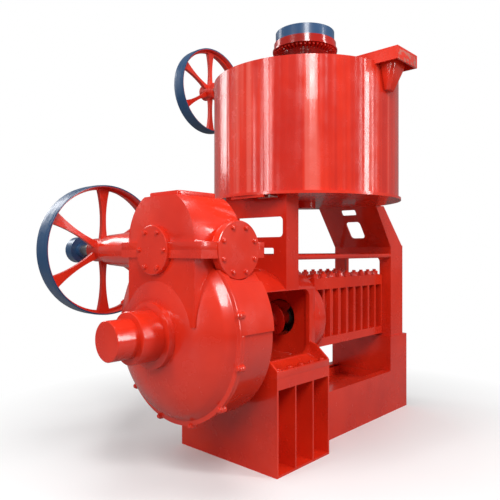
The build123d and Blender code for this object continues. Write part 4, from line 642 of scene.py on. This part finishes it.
@dataclass
class Gearbox:
    """The gear case's castings: cover, drum, band, box, arched hood, lid and sleeve."""

    sizes: GearboxSizes = GearboxSizes()
    reach: float = 500.0  # how far a block reaches that cuts through everything

    def _main(self, radius: float, start: float, end: float, steps: int = 96) -> Form:
        """A rod on the main shaft's axis."""
        return Form.rod("x", self.sizes.axis, radius, start, end, steps)

    def _ring(self) -> Form:
        """What the cover's half of the seam ring takes from the box."""
        s = self.sizes
        return self._main(s.ring + s.gap, s.seam - s.ring_half - s.gap, s.seam, FINE)

    def _dish(self, inset: float) -> Form:
        """The solid form of the dished cover, drawn in by a wall."""
        s = self.sizes
        shares = ((1, 1), (1, 0.5), (0.5, 1))
        dome = [(x + inset * a, r - inset * b) for (x, r), (a, b) in zip(s.dome, shares)]
        crown = arc_through(*dome)
        knee = (s.knee[0] + inset / 2, s.knee[1] - inset)
        bend = bend_to(crown[-1], knee, (s.seam, s.drum - inset))
        return Form.turned("x", s.axis, crown + bend, FINE)

    def _lugs(self, front: float) -> Form:
        """The round bolt lugs on a part of the seam ring."""
        s = self.sizes
        start, end = front + 2 * SKIN, front + s.ring_half - 2 * SKIN
        lugs = [Form.rod("x", place, s.lug, start, end, 24) for place in s.seam_places()]
        whole = lugs[0]
        for lug in lugs[1:]:
            whole += lug
        return whole - self._main(s.ring - 4, front - OVER, front + s.ring_half + OVER, FINE)

    def _room(self) -> Form:
        """The room inside the box below the split."""
        s = self.sizes
        low = (s.front + s.wall, s.near + s.wall, s.axis[1] + 150)
        return Form.block(low, (s.rear - s.hood_wall, s.far - s.wall, s.drive[0] + OVER))

    def _flanges(self, direction: int) -> Form:
        """The flanges round the split, below it or above it."""
        s = self.sizes
        low, high = sorted((s.drive[0], s.drive[0] + direction * s.flange))
        front, (end, out), seat = s.front - s.lip, s.near_flange, s.housing_ends[0]
        near = Form.block((front, out, low), (end, s.near + s.wall, high))
        near -= Form.rod("y", s.drive, s.cap + OVER, out - 6 * OVER, seat)
        far = Form.block((front, s.far - s.wall, low), (s.rear, s.far + s.far_flange, high))
        ahead = Form.block((front, s.near - OVER, low), (s.front + s.wall, s.far + OVER, high))
        ahead -= Form.rod("x", s.counter, s.front_cap, front - OVER, s.front)
        return near + far + ahead

    def _housings(self, direction: int) -> Form:
        """The half housings of the bearings, below the split or above it."""
        s = self.sizes
        near, far = s.housing_ends
        whole = Form.rod("y", s.drive, s.housing, near, s.near + 60)
        whole += Form.rod("y", s.drive, s.cap, near, near + 26)
        whole += Form.rod("y", s.drive, s.housing, s.far - 50, far)
        if direction < 0:
            whole -= self._dish(-s.gap)
            whole -= self._ring()
        whole += Form.rod("x", s.counter, s.counter_housing, s.front + s.wall, s.front + 75)
        low, high = sorted((s.drive[0], s.drive[0] + direction * self.reach))
        return whole & Form.block((s.front - s.wall, -self.reach, low), (-600, self.reach, high))

    def _bores(self) -> Form:
        """The bores for the gearbox's bearings."""
        s = self.sizes
        bores = Form.rod("y", s.drive, s.drive_bore, s.near_flange[1] - OVER, s.near + 61)
        end = s.housing_ends[1] + OVER
        bores += Form.rod("y", s.drive, s.drive_bore, s.far - 51, end)
        front = s.front - s.lip - OVER
        return bores + Form.rod("x", s.counter, s.counter_bore, front, s.front + 76)

    def _drum(self) -> Form:
        """The drum with its rear wall, before it is split."""
        s = self.sizes
        end = s.seam + s.ring_half
        profile = ((s.seam, s.ring), (end, s.ring), (end + SKIN, s.drum), (s.back, s.drum))
        shell = Form.turned("x", s.axis, profile, FINE)
        shell -= self._main(s.drum - s.wall, s.seam - OVER, s.back - s.wall, FINE)
        shell += self._lugs(s.seam)
        return shell - self._main(s.shaft_bore, s.back - 40, s.back + OVER)

    def _slice(self, low: float, high: float) -> Form:
        """A block over the drum's whole plan between two heights."""
        s = self.sizes
        return Form.block((s.seam - 5, -self.reach, low), (s.back + 5, self.reach, high))

    def cover(self) -> Form:
        """The dished front cover with the seat of the thrust housing."""
        s = self.sizes
        start, end = s.seat
        cover = self._dish(0) - self._dish(s.wall)
        bore = self._main(s.seat_bore, start - OVER, end + OVER)
        cover += self._main(s.seat_radius, start, end) - bore
        front = s.seam - s.ring_half
        ring = self._main(s.ring, front, s.seam - SKIN, FINE)
        cover += ring - self._main(s.drum - s.wall + 2, front - OVER, s.seam + OVER, FINE)
        cover += self._lugs(front)
        cover -= self._room()
        low = (s.front - 60, s.near, s.drive[0] - 40)
        cover -= Form.block(low, (s.seam + OVER, s.far, s.drive[0] + 99))
        cover -= Form.rod("y", s.drive, s.cap + 2 * OVER, s.near_flange[1] - 6 * OVER, s.near)
        return cover - self._main(s.nose_bore, start - OVER, end + OVER)

    def lower(self) -> Form:
        """The lower part of the drum, up to its parting."""
        return self._drum() & self._slice(200, self.sizes.parting - self.sizes.gap)

    def upper(self) -> Form:
        """The upper part of the drum with its band, grown into the gearbox's lower half."""
        s = self.sizes
        split, inner = s.drive[0], s.drum - s.wall
        case = self._drum() & self._slice(s.parting, 1400)
        band = self._main(s.band, s.seam + s.gap, s.back - s.gap, 120)
        band -= self._main(s.drum - 10, s.seam - 5, s.back + 5, 120)
        case += band & self._slice(s.parting + SKIN, s.band_top)
        box = Form.block((s.front, s.near, s.axis[1] + 60), (s.rear, s.far, split))
        box += self._flanges(-1)
        box -= self._main(inner - SKIN, s.seam - OVER, s.rear + OVER, FINE)
        box -= self._dish(-s.gap)
        box -= self._ring()
        low = (s.seam - 5, -self.reach, split - 2 * SKIN)
        case -= Form.block(low, (s.rear - 2 * SKIN, self.reach, 1600))
        case += box
        case -= self._room()
        case += self._housings(-1)
        seat = s.housing_ends[0]
        case -= Form.rod("y", s.drive, s.cap + 2 * OVER, seat - 70, seat - SKIN)
        return case - self._bores()

    def _arch(self, inset: float) -> Form:
        """The arched form of the hood, drawn in by a wall."""
        s = self.sizes
        front, rear, low = s.front + inset, s.rear - inset, s.drive[0] - inset
        radius = (s.far - s.near) / 2 - inset
        y, z = s.arch
        form = Form.rod("x", s.arch, radius, front, rear, FINE)
        form += Form.block((front, y - radius, low), (rear, y + radius, z))
        return form & Form.block((front - OVER, -400, low), (rear + OVER, 400, s.top - inset))

    def hood(self) -> Form:
        """The arched hood over the bevel gears, flat on top under its lid."""
        s = self.sizes
        hood = self._arch(0) + self._flanges(1)
        hood -= self._arch(s.hood_wall)
        hood += self._housings(1)
        hood -= self._bores()
        low = (s.front - s.lip - OVER, -self.reach, s.drive[0])
        hood = hood & Form.block(low, (s.near_flange[0], self.reach, s.top))
        x, y = (s.front + s.rear) / 2, s.arch[0]
        return hood - Form.block((x - 80, y - 50, s.top - 40), (x + 80, y + 50, s.top + OVER))

    def lid(self) -> Form:
        """The flat inspection lid on the hood."""
        s = self.sizes
        middle = ((s.front + s.rear) / 2, s.arch[0] + 9)
        return Form.prism("z", round_rectangle(middle, (125, 118), 14), s.top, s.top + 24)

    def sleeve(self) -> Form:
        """The long tapered sleeve that carries the drive shaft out to its pulley."""
        profile = ((365, 122), (387, 122), (393, 116), (600, 102), (742, 94), (752, 90))
        bore = Form.rod("y", self.sizes.drive, 42.0, 364, 753)
        return Form.turned("y", self.sizes.drive, profile) - bore

    def build(self) -> Iterator[tuple[bpy.types.Object, str]]:
        """Makes the castings as pieces, each with the node that it stands for."""
        rows = (
            ("cover_casting", self.cover, 3, "front_cover"),
            ("drum_casting", self.lower, 3, "gear_case_lower"),
            ("gearbox_casting", self.upper, 5, "gear_case_upper"),
            ("hood_casting", self.hood, 5, "gearbox_hood"),
            ("hood_lid_plate", self.lid, 3, "hood_lid"),
            ("sleeve_casting", self.sleeve, 4, "bearing_sleeve"),
        )
        for name, make, edge, node in rows:
            yield make().piece(name, edge), node


@dataclass(frozen=True)
class YokeSizes:
    """Sizes of the feed yoke in millimetres."""

    axis: Pair = (0.0, 760.0)  # Y and Z of the main shaft
    front: float = -971.0  # X of the front flange's face
    body: float = -941.0  # X of the body's front
    flange: float = -330.0  # X where the rear flange starts
    rear: float = -240.0  # X of the rear flange's face
    half: float = 245.0  # half the body's width
    floor: float = 513.0  # Z of the feet
    shoulder: float = 950.0  # Z where the arch starts
    crown: float = 1075.0  # Z of the arch's top
    wall: float = 30.0  # the body's wall
    front_radius: float = 290.0  # the front flange's radius
    rear_radius: float = 262.0  # the rear flange's radius
    bevel: float = 32.0  # the rear flange's bevel
    shaft_bore: float = 60.05  # the radius of the bore in front
    cage_bore: float = 112.0  # the radius of the bore behind
    # the near window's middle, half size and corner, on X and Z
    window: tuple[Pair, Pair, float] = ((-607.5, 760.0), (222.5, 190.0), 50.0)
    # the feed mouth's middle, half size and corner, on X and Y
    mouth: tuple[Pair, Pair, float] = ((-745.0, 0.0), (105.0, 100.0), 30.0)
    column: Pair = (-844.0, -373.0)  # X of the front column's two ends
    outer: float = 377.0  # Y of the feet's outer edge
    foot: float = 28.0  # the feet's thickness
    lip: float = 10.0  # the width and height of the feet's lips
    ear: float = 12.0  # the thickness of the feet's ears


@dataclass
class Yoke:
    """The feed yoke's casting."""

    sizes: YokeSizes = YokeSizes()

    def _body(self, inset: float, start: float, end: float) -> Form:
        """The arched form of the body, drawn in by a wall."""
        s = self.sizes
        half, floor = s.half - inset, s.floor + inset
        shoulder, crown = s.shoulder - inset / 2, s.crown - inset
        arch = arc_through((half, shoulder), (0, crown), (-half, shoulder))
        return Form.prism("x", [(-half, floor), (half, floor)] + arch, start, end)

    def _foot(self, side: int) -> Form:
        """One foot with its lip, its flare and an ear at each end."""
        s = self.sizes
        inner, edge, top = s.half - 5, s.outer - s.lip, s.floor + s.foot
        seat, rim = top - OVER, top + s.lip
        (front, rear), ear_edge = s.column, s.outer - 5
        ear = [(inner, seat), (ear_edge, seat), (ear_edge, top + 15)]
        ear += [(s.half + 45, top + 84), (inner, top + 100)]
        plates = (
            ([(inner, s.floor), (s.outer, s.floor), (s.outer, top), (inner, top)], front, rear),
            ([(edge, seat), (s.outer, seat), (s.outer, rim), (edge, rim)], front, rear),
            ([(inner, seat), (s.half + 60, seat), (inner, top + 27)], front, rear),
            (ear, front, front + s.ear),
            (ear, rear - s.ear, rear),
        )
        forms = [
            Form.prism("x", [(side * y, z) for y, z in outline], start, end)
            for outline, start, end in plates
        ]
        whole = forms[0]
        for form in forms[1:]:
            whole += form
        return whole

    def casting(self) -> Form:
        """The whole casting."""
        s = self.sizes
        low, high = s.rear_radius - s.bevel, s.rear_radius
        body = self._body(0, s.body, s.flange)
        body -= self._body(s.wall, s.body + s.wall, s.flange - s.wall)
        profile = ((s.flange, low), (s.flange + s.bevel, high), (s.rear, high))
        body += Form.turned("x", s.axis, profile)
        body += Form.rod("x", s.axis, s.front_radius, s.front, s.body)
        window = [(z, x) for x, z in round_rectangle(*s.window)]
        body -= Form.prism("y", window, -s.half - 50, 0)
        body -= Form.prism("z", round_rectangle(*s.mouth), s.shoulder, s.crown + OVER)
        for side in (-1, 1):
            body += self._foot(side)
        body -= Form.rod("x", s.axis, s.cage_bore, s.flange - s.wall - OVER, s.rear + OVER)
        front, end = s.front - OVER, s.body + s.wall + OVER
        return body - Form.rod("x", s.axis, s.shaft_bore, front, end)


@dataclass(frozen=True)
class FeedWorm:
    """The feed worm under the mouth: a hub with one long flight, in millimetres."""

    axis: Pair = (0.0, 760.0)  # Y and Z of the main shaft
    start: float = -880.0  # X of the hub's front
    end: float = -334.0  # X of its back
    hub: float = 52.0  # the hub's radius
    bore: float = 40.2  # its bore's radius
    pitch: float = 120.0  # how far the flight moves in a turn
    margin: float = 10.0  # how far the flight stays from the hub's ends
    # the flight's radius and place along it at its four corners
    section: tuple[Pair, ...] = ((46.0, -7.0), (104.0, -4.0), (104.0, 4.0), (46.0, 7.0))
    steps: int = 48  # points in a turn

    def build(self) -> Form:
        """Makes the worm."""
        hub = Form.rod("x", self.axis, self.hub, self.start, self.end, 64)
        hub -= Form.rod("x", self.axis, self.bore, self.start - OVER, self.end + OVER)
        loops = []
        turns = (self.end - self.start - 2 * self.margin) / self.pitch
        for n in range(int(turns * self.steps) + 1):
            turn = FULL_TURN * n / self.steps
            x = self.start + self.margin + self.pitch * n / self.steps
            loop = []
            for radius, width in self.section:
                y, z = circle(self.axis, radius, [turn])[0]
                loop.append((x + width, y, z))
            loops.append(loop)
        return hub + Form.from_loops(loops)


@dataclass
class BeamEnds:
    """The folded brackets that hang from the beam's ends, and its end plates."""

    middle: float = -104.0  # X of the beam's middle
    half: float = 110.0  # half the beam's width
    ends: Pair = (719.7, 729.7)  # Y of an end plate's two faces
    kettle: float = 600.0  # the kettle's radius
    low: float = 2247.0  # Z of the beam's lower edge
    plate: float = 2310.0  # Z under the beam's top plate
    foot: float = 2112.0  # Z of the brackets' feet
    wall: float = 8.0  # the brackets' wall
    corner: float = 20.0  # the radius of their folds
    head: Pair = (72.0, 84.0)  # half a bracket's width and its reach from the kettle at the top
    toe: Pair = (36.0, 34.0)  # the same at its foot

    def _scoop(self, side: int, inset: float) -> Form:
        """The tapered form of a bracket, drawn in by a wall."""
        loops = []
        inner = self.kettle - 50
        rows = ((self.head, self.plate), (self.head, self.low), (self.toe, self.foot + inset))
        for (half, reach), z in rows:
            depth = (self.kettle + reach - inset - inner) / 2
            centre = (self.middle, side * (inner + depth))
            outline = round_rectangle(centre, (half - inset, depth), self.corner - inset)
            loops.append(placed("z", outline, z))
        return Form.from_loops(loops)

    def bracket(self, side: int) -> Form:
        """One bracket, bearing on the kettle's wall."""
        scoop = self._scoop(side, 0) - self._scoop(side, self.wall)
        radius, low, high = self.kettle + 0.3, self.foot - OVER, self.plate + OVER
        return scoop - Form.rod("z", (self.middle, 0), radius, low, high, 192)

    def plates(self) -> Form:
        """The two plates that close the beam's ends."""
        start, end = self.ends
        left, right = self.middle - self.half, self.middle + self.half
        far = Form.block((left, start, self.low), (right, end, self.plate))
        return far + Form.block((left, -end, self.low), (right, -start, self.plate))


class Fastenings:
    """Repeated fastenings, set on points by a geometry node group."""

    def __init__(self) -> None:
        """Builds the node group."""
        self.group = bpy.data.node_groups.new("fastenings", "GeometryNodeTree")
        named = {"Places": "Geometry", "Fastening": "Object", "Finish": "Material"}
        named |= {"Seed": "Int", "Spin": "Float"}
        for name, kind in named.items():
            self._socket(name, "INPUT", kind)
        self._socket("Fastenings", "OUTPUT", "Geometry")
        maker = NodeMaker(self.group)
        entry = maker.node("NodeGroupInput")
        given = {name: Shade(maker, entry.outputs[name]) for name in named}
        pattern = maker.value("GeometryNodeObjectInfo", {"Object": given["Fastening"]}, "Geometry")
        attribute = "GeometryNodeInputNamedAttribute"
        axis = maker.value(attribute, {"Name": "axis"}, data_type="FLOAT_VECTOR")
        facing = maker.value("FunctionNodeAlignRotationToVector", {"Vector": axis}, axis="Z")
        limits = {3: given["Spin"], "Seed": given["Seed"]}
        turn = maker.value("FunctionNodeRandomValue", limits, 1, data_type="FLOAT")
        spin = maker.value("ShaderNodeCombineXYZ", {"Z": turn})
        inputs = {"Points": given["Places"], "Instance": pattern, "Rotation": facing}
        shown = maker.value("GeometryNodeInstanceOnPoints", inputs)
        inputs = {"Instances": shown, "Rotation": spin, "Local Space": True}
        shown = maker.value("GeometryNodeRotateInstances", inputs)
        shown = maker.value("GeometryNodeRealizeInstances", {"Geometry": shown})
        inputs = {"Geometry": shown, "Material": given["Finish"]}
        shown = maker.value("GeometryNodeSetMaterial", inputs)
        maker.node("NodeGroupOutput", {"Fastenings": shown})

    def _socket(self, name: str, side: str, kind: str) -> None:
        """Adds an input or output to the group."""
        self.group.interface.new_socket(name, in_out=side, socket_type=f"NodeSocket{kind}")

    def _identifier(self, name: str) -> str:
        """The identifier of one of the group's inputs."""
        items = self.group.interface.items_tree
        return next(i.identifier for i in items if i.name == name and i.in_out == "INPUT")

    def build(
        self,
        name: str,
        fastening: Form,
        places: Sequence[tuple[Point, Point]],
        finish: bpy.types.Material,
        seed: int = 7,
    ) -> bpy.types.Object:
        """Sets a fastening on every place.

        Args:
            name: The piece's name.
            fastening: The fastening, standing on the origin along Z.
            places: Pairs of a point in millimetres and a direction.
            finish: Its material.
            seed: The seed of the turns about its own axis, up to a radian.

        Returns:
            The piece, all fastenings in one plain mesh.
        """
        pattern = fastening.piece(f"{name}_pattern", 0.8, 40.0)
        mesh = bpy.data.meshes.new(name)
        mesh.from_pydata([[v * MILLIMETRE for v in point] for point, _ in places], [], [])
        axes = mesh.attributes.new("axis", "FLOAT_VECTOR", "POINT")
        for n, (_, direction) in enumerate(places):
            axes.data[n].vector = direction
        made = linked(name, mesh)
        modifier = made.modifiers.new("fastenings", "NODES")
        modifier.node_group = self.group
        given = {"Fastening": pattern, "Finish": finish, "Seed": seed, "Spin": 1.0}
        for key, setting in given.items():
            modifier[self._identifier(key)] = setting
        made.data = evaluated(made)
        made.modifiers.clear()
        bpy.data.objects.remove(pattern)
        return made


def hex_bolt(across: float, head: float, washer: float) -> Form:
    """A bolt's head on a washer, domed at its corners, by its width across flats."""
    hexagon = circle((0, 0), across / math.sqrt(3), [math.pi / 3 * n for n in range(6)])
    top, wide = washer + head, across * 0.6
    dome = ((-2, wide), (washer + head * 0.75, wide), (top + 0.01, across * 0.47))
    shape = Form.prism("z", hexagon, washer - 2 * SKIN, top) & Form.turned("z", (0, 0), dome, 48)
    return shape + Form.rod("z", (0, 0), across * 0.68, -2 * SKIN, washer, 48)


def stud_end(across: float, nut: float, radius: float, length: float, pitch: float) -> Form:
    """A threaded stud's end with a washer and a nut."""
    depth, washer = 1.1, 4.0
    thread = [(-6.0, radius)]
    place = nut + washer - OVER
    while place < length - pitch:
        thread += [(place, radius), (place + pitch * 0.5, radius - depth)]
        place += pitch
    thread += [(length - 2, radius), (length, radius - 2)]
    return hex_bolt(across, nut, washer) + Form.turned("z", (0, 0), thread, 32)


@dataclass
class Press:
    """The press itself: its replaced castings, its fastenings and each node's finish."""

    workshop: Workshop  # where the finishes come from
    pieces: list[bpy.types.Object] = field(default_factory=list)  # the pieces made here

    def dress(self) -> None:
        """Gives every node its finish."""
        dress = self.workshop.dress
        dress(Finish.RED, *self.workshop.nodes)
        dress(Finish.SHEET, "kettle_shell")
        dress(Finish.BLUE, "takeoff_pulley", "drum_ring")
        dress(Finish.DRIVE_PULLEY, "drive_pulley")
        dress(Finish.KETTLE_PULLEY, "kettle_pulley")
        dress(Finish.STEEL_X, "main_shaft", "counter_shaft", "lining_bars")
        dress(Finish.STEEL_Y, "drive_shaft", "cross_shaft", "outlet_gate")
        dress(Finish.STEEL_Z, "stirrer_shaft")
        dress(Finish.BRONZE, "main_bushes", "drive_bearings", "counter_bearings")
        dress(Finish.IRON, "main_gear", "spur_pinion", "bevel_wheel", "drive_pinion")
        dress(Finish.IRON, "worm_segments", "worm_collars", "thrust_collar")
        dress(Finish.GEAR_RED, "crown_wheel", "crown_pinion")

    def add(
        self,
        piece: bpy.types.Object,
        *nodes: str,
        finish: Finish = Finish.RED,
        body: str = "press_frame",
    ) -> None:
        """Places a piece on its body.

        Args:
            piece: The piece.
            nodes: The nodes that it stands for.
            finish: Its finish.
            body: The body that carries it.
        """
        piece.data.materials.clear()
        piece.data.materials.append(self.workshop.material(finish))
        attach(piece, body)
        if nodes:
            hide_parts(*nodes)
        self.pieces.append(piece)
        LOG.info("%s: %d faces on %s", piece.name, len(piece.data.polygons), body)

    def castings(self) -> None:
        """Makes the castings that show more form than their nodes."""
        for piece, node in Gearbox().build():
            self.add(piece, node)
        self.add(Yoke().casting().piece("yoke_casting", 5), "feed_yoke")
        worm = FeedWorm().build().piece("feed_worm", 1)
        self.add(worm, finish=Finish.GEAR_RED, body="worm_train")
        ends = BeamEnds()
        for side, word in ((-1, "near"), (1, "far")):
            self.add(ends.bracket(side).piece(f"bracket_{word}", 2), f"beam_bracket_{word}")
        # the end plates get pinkish spots of painted highlight
        self.add(ends.plates().piece("beam_end_plates", 1), finish=Finish.HIGHLIGHT_SPOTTED)

    def fasten(self) -> None:
        """Makes the bolts, nuts and studs."""
        fastenings = Fastenings()
        red = self.workshop.material(Finish.RED)
        back, ahead, up = (-1.0, 0.0, 0.0), (1.0, 0.0, 0.0), (0.0, 0.0, 1.0)
        near_side = (0.0, -1.0, 0.0)
        sizes = GearboxSizes()

        def ring(
            axis: str, centre: Pair, radius: float, angles: Iterable[float], along: float
        ) -> list[Point]:
            """Places on a bolt circle by their angles in degrees."""
            return placed(axis, circle(centre, radius, [math.radians(a) for a in angles]), along)

        seam = [(place, back) for place in placed("x", sizes.seam_places(), -1211.0)]
        eighths = [67.5 - 45 * n for n in range(8)]
        cap = [(p, near_side) for p in ring("y", sizes.drive, 115, eighths, -356.0)]
        cap += [(p, back) for p in ring("x", sizes.counter, 98, range(0, 360, 60), -1359.0)]
        feet = [((-804.0 + 97.75 * n, y, 541.0), up) for n in range(5) for y in (-349.0, 349.0)]
        sides = (-30, 0, 30, 150, 180, 210)
        rear = [(p, ahead) for p in ring("x", sizes.axis, 238, sides, YokeSizes.rear)]
        # the piece, its bolt by width, head and washer, the places and the node
        rows = (
            ("seam_fastenings", hex_bolt(20, 9, 3), seam, "case_bolts"),
            ("cap_fastenings", hex_bolt(19, 8, 2.5), cap, "cap_bolts"),
            ("foot_fastenings", hex_bolt(28, 14, 3.5), feet, "foot_bolts"),
            ("rear_fastenings", hex_bolt(26, 14, 3.5), rear, "rear_bolts"),
        )
        for name, form, places, node in rows:
            self.add(fastenings.build(name, form, places, red), node)
        stud = stud_end(44, 24, 13.0, 40.0, 2.6) + Form.rod("z", (0, 0), 12.9, -421, -5, 32)
        for side, word in ((-1, "near"), (1, "far")):
            places = [((-190.0 + 93 * n, side * 141.0, 1001.0), up) for n in range(9)]
            piece = fastenings.build(f"cage_studs_{word}", stud, places, red, 20 + side)
            self.add(piece, f"cage_bolts_{word}")


@dataclass(frozen=True)
class Lamp:
    """A soft square lamp."""

    name: str  # its name
    place: Point  # where it hangs, in metres
    target: Point  # the point it faces
    size: Pair  # its sides in metres
    power: float  # its power in watts

    def build(self) -> None:
        """Hangs the lamp."""
        data = bpy.data.lights.new(self.name, "AREA")
        data.shape = "RECTANGLE"
        data.size, data.size_y = self.size
        data.energy = self.power
        aim(linked(self.name, data), self.place, Vector(self.target) - Vector(self.place))


@dataclass
class Studio:
    """The floor, the lamps, the sky and the camera."""

    eye: Point = (-2.965, -2.144, 1.18)  # the camera's place in metres
    heading: Point = (0.735, 0.678, 0.0)  # the camera's direction, level with the floor
    focal_pixels: float = 536.0  # the focal length in pixels of the photograph
    picture: float = 500.0  # the picture's side in pixels
    sensor: float = 36.0  # the sensor's width in millimetres
    sky_light: float = 0.26  # how strongly the sky lights the press
    reach: float = 30.0  # half the floor's side in metres
    # name, place, point it faces, sides and power of each lamp
    lamps: Sequence[Lamp] = (
        Lamp("key_lamp", (-3.6, -3.4, 4.4), (-0.4, 0.0, 1.2), (1.2, 2.4), 175.0),
        Lamp("left_strip", (-5.2, 0.6, 2.6), (-0.4, 0.0, 1.4), (0.5, 3.2), 75.0),
        Lamp("right_strip", (1.6, -4.8, 2.8), (0.0, 0.0, 1.3), (0.6, 3.4), 105.0),
        Lamp("top_lamp", (-0.6, -0.6, 6.2), (-0.2, 0.0, 1.0), (3.0, 3.0), 150.0),
        Lamp("rim_lamp", (-1.5, 5.0, 3.6), (-0.4, 0.4, 1.4), (1.2, 2.6), 60.0),
    )

    def build(self) -> None:
        """Sets the studio up."""
        self._sky()
        self._floor()
        self._camera()
        for lamp in self.lamps:
            lamp.build()
        bpy.context.scene.view_settings.view_transform = "Standard"

    def _sky(self) -> None:
        """A soft pale sky that shows as white."""
        world = bpy.data.worlds.new("studio_sky")
        bpy.context.scene.world = world
        world.use_nodes = True
        maker = NodeMaker(world.node_tree)
        path = maker.node("ShaderNodeLightPath")
        rays = ("Is Camera Ray", "Is Transmission Ray")
        inputs = {n: Shade(maker, path.outputs[ray]) for n, ray in enumerate(rays)}
        seen = maker.value("ShaderNodeMath", inputs, operation="MAXIMUM")
        inputs = {"Value": seen, "To Min": self.sky_light, "To Max": 1.0}
        strength = maker.value("ShaderNodeMapRange", inputs)
        inputs = {"Color": WHITE, "Strength": strength}
        sky = maker.value("ShaderNodeBackground", inputs)
        maker.node("ShaderNodeOutputWorld", {"Surface": sky})

    def _floor(self) -> None:
        """A plain pale floor."""
        mesh = bpy.data.meshes.new("studio_floor")
        signs = ((-1, -1), (1, -1), (1, 1), (-1, 1))
        corners = [(x * self.reach, y * self.reach, 0) for x, y in signs]
        mesh.from_pydata(corners, [], [(0, 1, 2, 3)])
        mesh.materials.append(self._floor_finish())
        linked("studio_floor", mesh)

    def _floor_finish(self) -> bpy.types.Material:
        """A pale floor that turns to plain white away from the press for the camera."""
        maker = ShaderMaker("pale_floor")
        seen = maker.value("ShaderNodeLightPath", output="Is Camera Ray")
        greys = ((0.86, 0.86, 0.86, 1.0), (0.9, 0.9, 0.9, 1.0))
        pale = maker.blend(maker.noise(0.7, 3.0), *greys)
        inputs = {"Base Color": maker.blend(seen, (0.3, 0.29, 0.29, 1.0), pale), "Roughness": 0.6}
        ground = maker.value("ShaderNodeBsdfPrincipled", inputs, "BSDF")
        white = maker.value("ShaderNodeEmission", {"Color": WHITE})
        away = maker.ramp(maker.away_from("XY", (-0.3, 0.0)), 1.1, 2.4) * seen
        mixed = maker.value("ShaderNodeMixShader", {0: away, 1: ground, 2: white})
        maker.node("ShaderNodeOutputMaterial", {"Surface": mixed})
        return maker.material

    def _camera(self) -> None:
        """The photograph's camera."""
        data = bpy.data.cameras.new("camera")
        data.sensor_fit = "HORIZONTAL"
        data.sensor_width = self.sensor
        data.lens = self.sensor * self.focal_pixels / self.picture
        data.clip_end = 2 * self.reach
        camera = linked("camera", data)
        aim(camera, self.eye, Vector(self.heading))
        bpy.context.scene.camera = camera


def main() -> None:
    """Builds the studio and dresses the press."""
    logging.basicConfig(level=logging.INFO, format="%(message)s")
    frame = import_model()
    Studio().build()
    press = Press(Workshop(frame["nodes"]))
    press.dress()
    press.castings()
    press.fasten()
    LOG.info("dressed %d nodes, made %d pieces", len(frame["nodes"]), len(press.pieces))


if __name__ == "__main__":
    main()
